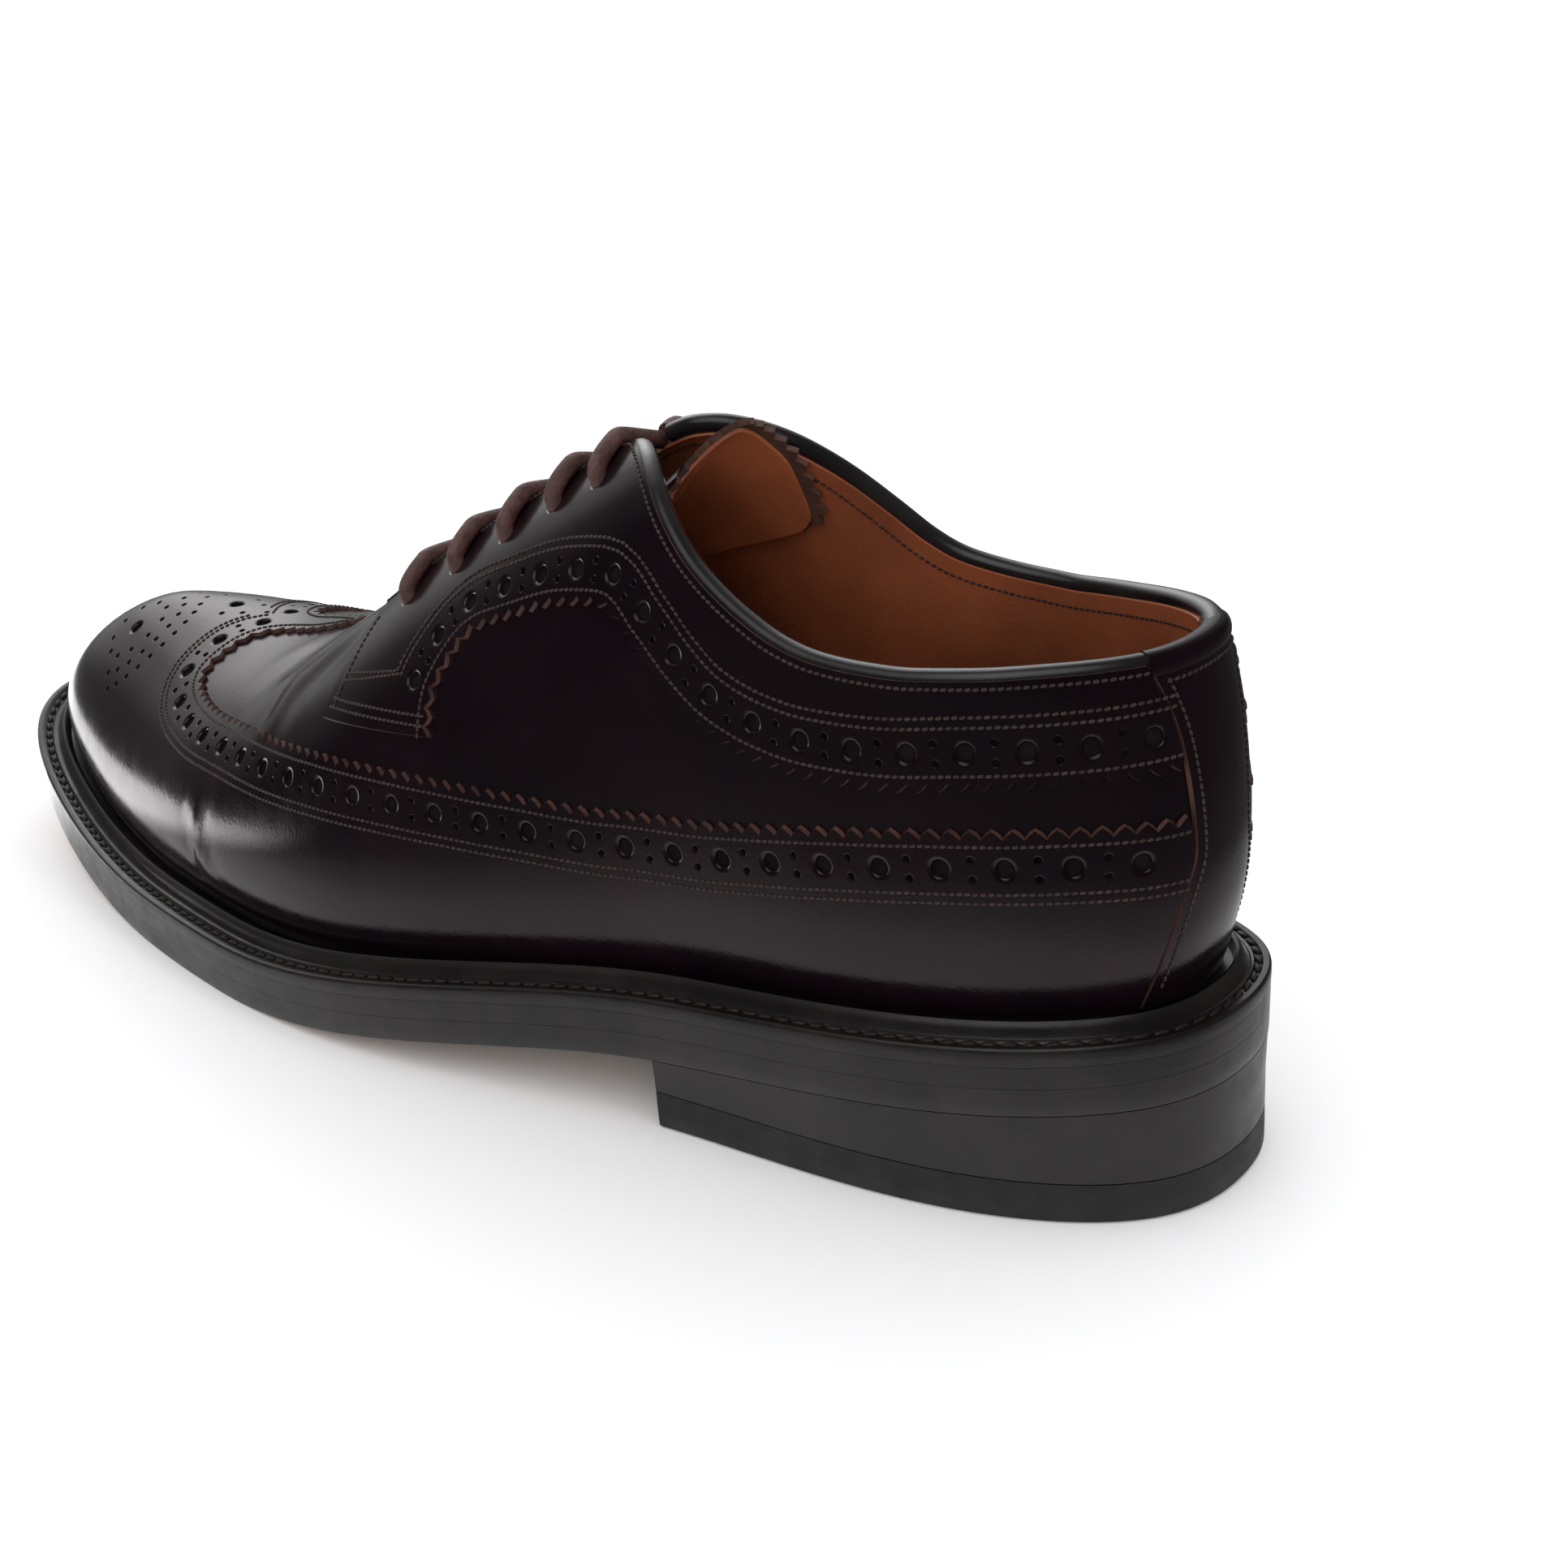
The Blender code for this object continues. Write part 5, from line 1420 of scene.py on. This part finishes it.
class SHOE_OT_back_strap(bpy.types.Operator):
    """Add the waisted back strap, its wrap over the bead and its stitch rows"""
    bl_idname = "shoe.add_back_strap"
    bl_label = "Back strap"

    def execute(self, context):
        near = strap_line(0.0)
        far = LAST.mirrored(near) - np.array([LAST.length, 0.0])
        loop = joined([near, straight(near[-1], far[0]), far, straight(far[-1], near[0])])
        strap = panel("back_strap_leather", loop, [], [], OVERLAY_BACK, 0.0,
                      panel_materials(upper_material()), flare=EDGE_FLARE)
        dress(strap, None, ["back_strap"])
        self.add_wrap(near[-1], far[0])
        row = between(aside(near, STRAP_ROW), STRAP_ROW_FOOT, STRAP_ROW_TOP)
        far_row = LAST.mirrored(row) - np.array([LAST.length, 0.0])
        sew_lines("strap_stitches", [row, far_row, straight(row[-1], far_row[0])], 0.0)
        return {"FINISHED"}

    def add_wrap(self, near, far):
        """The end of the strap folded over the bead to the inside."""
        turns = np.radians(np.linspace(*WRAP_TURN))
        start_fresh()
        bpy.ops.mesh.primitive_grid_add(x_subdivisions=WRAP_COLUMNS, y_subdivisions=len(turns) - 1, size=1.0)
        wrap = bpy.context.object
        wrap.name = "back_strap_wrap"
        stations = np.linspace(near[0], far[0], WRAP_COLUMNS + 1)
        radius = sizes().bead_width / MM / 2 + WRAP_OVER
        spots = []
        for turn in turns:
            rise = near[1] + radius * math.sin(turn)
            offset = BEAD_OFFSET + radius * math.cos(turn)
            spots.append(LAST.place(np.column_stack([stations, np.full(len(stations), rise)]), offset))
        for vertex, spot in zip(wrap.data.vertices, in_frame(np.concatenate(spots))):
            vertex.co = spot
        thick = wrap.modifiers.new("Thickness", "SOLIDIFY")
        thick.thickness = WRAP_THICKNESS * MM
        thick.offset = 0.0
        bpy.ops.object.modifier_apply(modifier=thick.name)
        bpy.ops.object.mode_set(mode="EDIT")
        bpy.ops.mesh.select_all(action="SELECT")
        bpy.ops.mesh.normals_make_consistent(inside=False)
        bpy.ops.object.mode_set(mode="OBJECT")
        bpy.ops.object.shade_smooth_by_angle(angle=math.radians(SHARP_ANGLE))
        dress(wrap, upper_material(), [])


class SHOE_OT_tongue(bpy.types.Operator):
    """Add the gimped tongue and its lining patch"""
    bl_idname = "shoe.add_tongue"
    bl_label = "Tongue"

    def execute(self, context):
        near, far = self.side(TONGUE_LATERAL, False), self.side(TONGUE_MEDIAL, True)[::-1]
        loop = joined([near[~self.top(near)], gimped(near[self.top(near)]), gimped(far[self.top(far)]),
                       far[~self.top(far)]])
        tongue = panel("tongue_leather", loop, [], [], TONGUE_BACK, TONGUE_FRONT,
                       panel_materials(leather("Flesh side")), self.sink)
        dress(tongue, None, ["tongue"])
        near = self.side(self.inset(TONGUE_LATERAL), False)
        far = self.side(self.inset(TONGUE_MEDIAL), True)[::-1]
        patch = panel("tongue_lining", joined([near, far]), [], [], TONGUE_LINING_BACK, TONGUE_LINING_FRONT,
                      [lining_material()] * 4, self.sink)
        dress(patch, None, [])
        return {"FINISHED"}

    def inset(self, table):
        """The edge of the lining patch, which leaves a margin round the tongue's top."""
        rows = [row for row in table if row[0] <= TONGUE_PATCH_FRONT_Y]
        return [(y + TONGUE_PATCH_MARGIN, away * TONGUE_PATCH_WIDTH) for y, away in rows]

    def ridge_y(self, charts):
        return np.interp(np.mod(charts[:, 0], LAST.length), LAST.stations, LAST.ridge_y)

    def top(self, line):
        """Which points of an edge lie round the tongue's top, where it is gimped."""
        return self.ridge_y(line) < TONGUE_GIMP_Y

    def sink(self, charts):
        """Depth of the tongue under the last, which it crosses flatter than the facings do."""
        away = LAST.top_rise(charts[:, 0]) - charts[:, 1]
        return table_curve(TONGUE_SINK, 1, self.ridge_y(charts)) * np.exp(-(away / TONGUE_SINK_REACH) ** 2)

    def side(self, table, medial):
        """One side of an edge of the tongue, from its front to the middle of its top."""
        y, away = np.array(table).T
        station = LAST.ridge_station(y, medial)
        return chart_curve(np.column_stack([station, LAST.top_rise(station) - away]))


class SHOE_OT_bead(bpy.types.Operator):
    """Add the bound bead along the collar"""
    bl_idname = "shoe.add_bead"
    bl_label = "Collar bead"

    def execute(self, context):
        near, far = [chart_curve(table) for table in (TOP_EDGE, MEDIAL_TOP_EDGE)]
        near, far = [line[line[:, 0] < BEAD_END] for line in (near, far)]
        line = np.concatenate([near[::-1], LAST.mirrored(far)[::-1][1:] - np.array([LAST.length, 0.0])])
        bead = cord("collar_bead", LAST.place(line, BEAD_OFFSET), sizes().bead_width / MM / 2)
        dress(bead, leather("Bound edge"), ["collar_binding"])
        return {"FINISHED"}


class SHOE_OT_laces(bpy.types.Operator):
    """Add the laces, each from a lateral hole over both facings into a medial hole"""
    bl_idname = "shoe.add_laces"
    bl_label = "Laces"

    def execute(self, context):
        for number in range(len(EYELET_STATIONS)):
            near = self.end(TOP_EDGE, number, np.array)
            far = self.end(MEDIAL_TOP_EDGE, number, LAST.mirrored)
            share = np.linspace(0.0, 1.0, LACE_STEPS)[1:-1, None]
            path = np.concatenate([near, near[-1] * (1 - share) + far[-1] * share, far[::-1]])
            lace = cord(f"lace_{number + 1}", path, sizes().lace_width / MM / 2)
            dress(lace, leather("Waxed lace"), [f"lace_bar_{number + 1}"])
        return {"FINISHED"}

    def end(self, table, number, carried):
        """Points of a lace from inside its hole up over the facing to the lace edge."""
        station, rise = eyelets(table)[number]
        rises = np.concatenate([rise + np.array(LACE_LEAVE),
                                np.linspace(rise + LACE_CLIMB, rise + EYELET_BELOW_EDGE, LACE_STEPS)])
        offsets = np.concatenate([LACE_DIP, np.full(LACE_STEPS, LACE_LIFT)])
        rows = carried(np.column_stack([np.full(len(rises), station), rises]))
        if carried is LAST.mirrored:
            rows = rows[::-1]
        return LAST.place(rows, offsets)


def sole_turns(last_y):
    """Turns round the sole edge from the heel's back, lateral and medial in pairs at the same y."""
    dense = np.linspace(0, 1, OUTLINE_SAMPLES)
    lateral_y = edge_points(dense, 0.0)[:, 1]
    medial_y = edge_points(2 - dense, 0.0)[:, 1]
    share = np.linspace(0, math.pi, SOLE_LEVELS + 1)
    levels = lateral_y.min() + (lateral_y.max() - lateral_y.min()) * (1 - np.cos(share)) / 2
    if last_y is not None:
        levels = np.append(levels[levels < last_y - SOLE_LEVEL_GAP], last_y)
    low, high = np.argmin(lateral_y), np.argmax(lateral_y)
    lateral = np.interp(levels, lateral_y[low:high + 1], dense[low:high + 1])
    low, high = np.argmin(medial_y), np.argmax(medial_y)
    medial = 2 - np.interp(levels, medial_y[low:high + 1], dense[low:high + 1])
    if last_y is not None:
        return np.concatenate([lateral, medial[:0:-1]])
    return np.concatenate([lateral, medial[-2:0:-1]])


def layer_loops(turns, profile, heights):
    """Loops of a layer, one for each profile row; heights gives z from a row's height and the edge's y."""
    loops = []
    y = edge_points(turns, 0.0)[:, 1]
    scale = HEEL_INSET_SCALE + (1 - HEEL_INSET_SCALE) * heel_to_fore(y)
    for inset, height in profile:
        point = edge_points(turns, inset * scale)
        loops.append(np.column_stack([point, heights(height, point[:, 1])]))
    return loops


def over_sole(height, y):
    return sole_bottom(y) + height


def over_lift(share, y):
    """Height inside the heel stack, from the top lift to the heel seat."""
    base = TOP_LIFT_THICKNESS + LIFT_SEAM
    return base + (sole_bottom(np.minimum(y, BREAST_Y)) - LIFT_SEAM - base) * share


def on_floor(share, y):
    return np.full(len(y), TOP_LIFT_THICKNESS * share)


class SHOE_OT_sole(bpy.types.Operator):
    """Add the outsole, midsole, insole, heel stack and top lift with their finished edges"""
    bl_idname = "shoe.add_sole"
    bl_label = "Sole and heel"

    def execute(self, context):
        layers = (
            ("outsole", OUTSOLE_PROFILE, over_sole, None, edge_material(), "edge_leather"),
            ("midsole", MIDSOLE_PROFILE, over_sole, None, edge_material(), "edge_leather"),
            ("insole", INSOLE_PROFILE, over_sole, None, lining_material(), "lining_leather"),
            ("heel_stack", HEEL_PROFILE, over_lift, BREAST_Y, edge_material(), "edge_leather"),
            ("top_lift", LIFT_PROFILE, on_floor, BREAST_Y, leather("Heel rubber"), "lift_rubber"),
        )
        for node, profile, heights, last_y, material, slot in layers:
            layer = loft(node + "_layer", layer_loops(sole_turns(last_y), profile, heights), False)
            dress(layer, material, [node])
        self.finish_underside(bpy.data.objects["outsole_layer"].data)
        return {"FINISHED"}

    def finish_underside(self, mesh):
        """Natural leather on the faces that look down."""
        mesh.materials.append(leather("Sole leather"))
        for polygon in mesh.polygons:
            if polygon.normal.z < UNDERSIDE_SLOPE:
                polygon.material_index = 1


class SHOE_OT_welt(bpy.types.Operator):
    """Add the storm welt with its rib, and the stitches in its channel"""
    bl_idname = "shoe.add_welt"
    bl_label = "Storm welt"

    def execute(self, context):
        welt = loft("storm_welt_strip", layer_loops(sole_turns(None), WELT_PROFILE, over_sole), True)
        dress(welt, edge_material(), ["storm_welt"])
        channel = [(WELT_STITCH_INSET, WELT_STITCH_HEIGHT)]
        dense = layer_loops(np.linspace(0, 2, OUTLINE_SAMPLES), channel, over_sole)[0]
        along = np.concatenate([[0.0], np.cumsum(np.linalg.norm(np.diff(dense, axis=0), axis=1))])
        pitch, width = sizes().welt_stitch_pitch / MM, sizes().welt_thread_width / MM
        at = np.linspace(0.0, along[-1], int(round(along[-1] / pitch)), endpoint=False)
        middles = np.column_stack([np.interp(at, along, dense[:, c]) for c in range(3)])
        ahead = unit(np.roll(middles, -1, axis=0) - np.roll(middles, 1, axis=0))
        outward = unit(np.cross(ahead, (0.0, 0.0, 1.0)))
        normals = unit(np.cross(outward, ahead))
        size = (pitch * WELT_STITCH_SHARE, width, width * STITCH_HEIGHT)
        sewn("welt_stitches", middles, ahead, normals, size, leather("Welt thread"))
        return {"FINISHED"}


class SHOE_OT_stage(bpy.types.Operator):
    """Add the floor, the studio light and the camera"""
    bl_idname = "shoe.add_stage"
    bl_label = "Stage"

    def execute(self, context):
        start_fresh()
        bpy.ops.mesh.primitive_plane_add(size=FLOOR_SIZE)
        floor = context.object
        floor.name = "floor"
        floor.data.materials.append(self.floor_material())
        self.light_world(context.scene)
        self.add_camera(context.scene)
        context.scene.view_settings.view_transform = "Standard"
        return {"FINISHED"}

    def floor_material(self):
        """A pale floor whose colour for glossy rays is a painted reflection: bright near the shoe, dim
        further off, with a glowing spot ahead of the toe.
        """
        material = leather("Pale floor")
        tree = material.node_tree
        wire = tree.links.new
        # Painted reflection: the floor's colour for glossy rays is the larger of a ramp by distance from the
        # shoe and a glowing spot ahead of the toe
        across, along = FLOOR_PAINTED_CORE
        size = add_node(tree, "ShaderNodeVectorMath", operation="ABSOLUTE")
        past = add_node(tree, "ShaderNodeVectorMath", {1: (0.0, along, 0.0)}, operation="SUBTRACT")
        kept = add_node(tree, "ShaderNodeVectorMath", {1: (0.0, 0.0, 0.0)}, operation="MAXIMUM")
        away = add_node(tree, "ShaderNodeVectorMath", operation="LENGTH")
        reach = FLOOR_PAINTED_LEVELS[-1][0]
        spread = add_node(tree, "ShaderNodeMapRange", {"From Min": across, "From Max": across + reach})
        levels = add_node(tree, "ShaderNodeValToRGB")
        set_ramp(levels.color_ramp, [(distance / reach, level) for distance, level in FLOOR_PAINTED_LEVELS])
        middle, full, outer, level = FLOOR_PAINTED_SPOT
        off = add_node(tree, "ShaderNodeVectorMath", {1: middle}, operation="DISTANCE")
        spot = add_node(tree, "ShaderNodeMapRange", {"From Min": outer, "From Max": full, "To Max": level})
        painted_reflection = add_node(tree, "ShaderNodeMath", operation="MAXIMUM")
        seen = add_node(tree, "ShaderNodeLightPath")
        shown = add_node(tree, "ShaderNodeMix", data_type="RGBA")
        for node in (size, off):
            wire(tree.nodes["Texture Coordinate"].outputs["Object"], node.inputs[0])
        wire(off.outputs["Value"], spot.inputs["Value"])
        wire(spot.outputs[0], painted_reflection.inputs[1])
        for first, second in ((size, past), (past, kept), (kept, away)):
            wire(first.outputs["Vector"], second.inputs[0])
        wire(away.outputs["Value"], spread.inputs["Value"])
        wire(spread.outputs[0], levels.inputs[0])
        # Only glossy rays see the painted reflection; the camera and all other rays see the even pale floor
        wire(seen.outputs["Is Glossy Ray"], shown.inputs[0])
        wire(tree.nodes["Mix"].outputs[2], shown.inputs[6])
        wire(levels.outputs[0], painted_reflection.inputs[0])
        wire(painted_reflection.outputs[0], shown.inputs[7])
        wire(shown.outputs[2], tree.nodes["Principled BSDF"].inputs["Base Color"])
        return material

    def light_world(self, scene):
        """An even dome; in the polish it has a bright soft box behind the shoe and one overhead."""
        world = bpy.data.worlds.new("Studio")
        scene.world = world
        world.use_nodes = True
        world.cycles.sampling_method = "NONE"
        tree = world.node_tree
        wire = tree.links.new
        place = add_node(tree, "ShaderNodeTexCoord")
        both = add_node(tree, "ShaderNodeVectorMath", operation="ADD")
        for number, (way, strength, stops) in enumerate(LIGHTS):
            facing = add_node(tree, "ShaderNodeVectorMath", {1: way}, operation="DOT_PRODUCT")
            shift = add_node(tree, "ShaderNodeMath", {1: 0.5, 2: 0.5}, operation="MULTIPLY_ADD")
            ramp = add_node(tree, "ShaderNodeValToRGB")
            set_ramp(ramp.color_ramp, stops)
            scaled = add_node(tree, "ShaderNodeVectorMath", {"Scale": strength}, operation="SCALE")
            wire(place.outputs["Generated"], facing.inputs[0])
            wire(facing.outputs["Value"], shift.inputs[0])
            wire(shift.outputs[0], ramp.inputs[0])
            wire(ramp.outputs[0], scaled.inputs[0])
            wire(scaled.outputs["Vector"], both.inputs[number])
        seen = add_node(tree, "ShaderNodeLightPath")
        dome = (DOME_STRENGTH, DOME_STRENGTH, DOME_STRENGTH * LIGHT_TINT)
        shown = add_node(tree, "ShaderNodeMix", {6: solid_colour(dome)}, data_type="RGBA")
        wire(seen.outputs["Is Glossy Ray"], shown.inputs[0])
        wire(both.outputs["Vector"], shown.inputs[7])
        wire(shown.outputs[2], tree.nodes["Background"].inputs["Color"])

    def add_camera(self, scene):
        """The photo's view: place, yaw, pitch and roll."""
        flat = math.cos(CAMERA_PITCH)
        ahead = Vector((math.sin(CAMERA_YAW) * flat, math.cos(CAMERA_YAW) * flat, -math.sin(CAMERA_PITCH)))
        level = Vector((math.cos(CAMERA_YAW), -math.sin(CAMERA_YAW), 0.0))
        above = level.cross(ahead)
        right = level * math.cos(CAMERA_ROLL) + above * math.sin(CAMERA_ROLL)
        up = above * math.cos(CAMERA_ROLL) - level * math.sin(CAMERA_ROLL)
        bpy.ops.object.camera_add()
        camera = bpy.context.object
        camera.name = "photo_camera"
        axes = Matrix((right, up, -ahead)).transposed().to_4x4()
        camera.matrix_world = Matrix.Translation(CAMERA_PLACE) @ axes
        camera.data.lens = CAMERA_LENS
        camera.data.clip_end = FLOOR_SIZE
        scene.camera = camera


class SHOE_PT_panel(bpy.types.Panel):
    """Lists the steps that build the shoe"""
    bl_label = "Brogue derby"
    bl_idname = "SHOE_PT_panel"
    bl_space_type = "VIEW_3D"
    bl_region_type = "UI"
    bl_category = "Shoe"

    def draw(self, context):
        for step in STEPS:
            self.layout.operator(step.bl_idname)
        for group in (context.scene.shoe_sizes, context.scene.shoe_colours):
            for key in group.__annotations__:
                self.layout.prop(group, key)


STEPS = (SHOE_OT_sole, SHOE_OT_welt, SHOE_OT_upper, SHOE_OT_wing, SHOE_OT_facings, SHOE_OT_back_strap,
         SHOE_OT_tongue, SHOE_OT_bead, SHOE_OT_laces, SHOE_OT_stage)
CLASSES = (ShoeSizes, ShoeColours) + STEPS + (SHOE_PT_panel,)


def register():
    for item in CLASSES:
        bpy.utils.register_class(item)
    bpy.types.Scene.shoe_sizes = bpy.props.PointerProperty(type=ShoeSizes)
    bpy.types.Scene.shoe_colours = bpy.props.PointerProperty(type=ShoeColours)


def unregister():
    del bpy.types.Scene.shoe_colours
    del bpy.types.Scene.shoe_sizes
    for item in reversed(CLASSES):
        bpy.utils.unregister_class(item)


def main():
    register()
    start_fresh()
    bpy.ops.shoe.add_sole()
    bpy.ops.shoe.add_welt()
    bpy.ops.shoe.add_upper()
    bpy.ops.shoe.add_wing()
    bpy.ops.shoe.add_facings()
    bpy.ops.shoe.add_back_strap()
    bpy.ops.shoe.add_tongue()
    bpy.ops.shoe.add_bead()
    bpy.ops.shoe.add_laces()
    bpy.ops.shoe.add_stage()


if __name__ == "__main__":
    main()
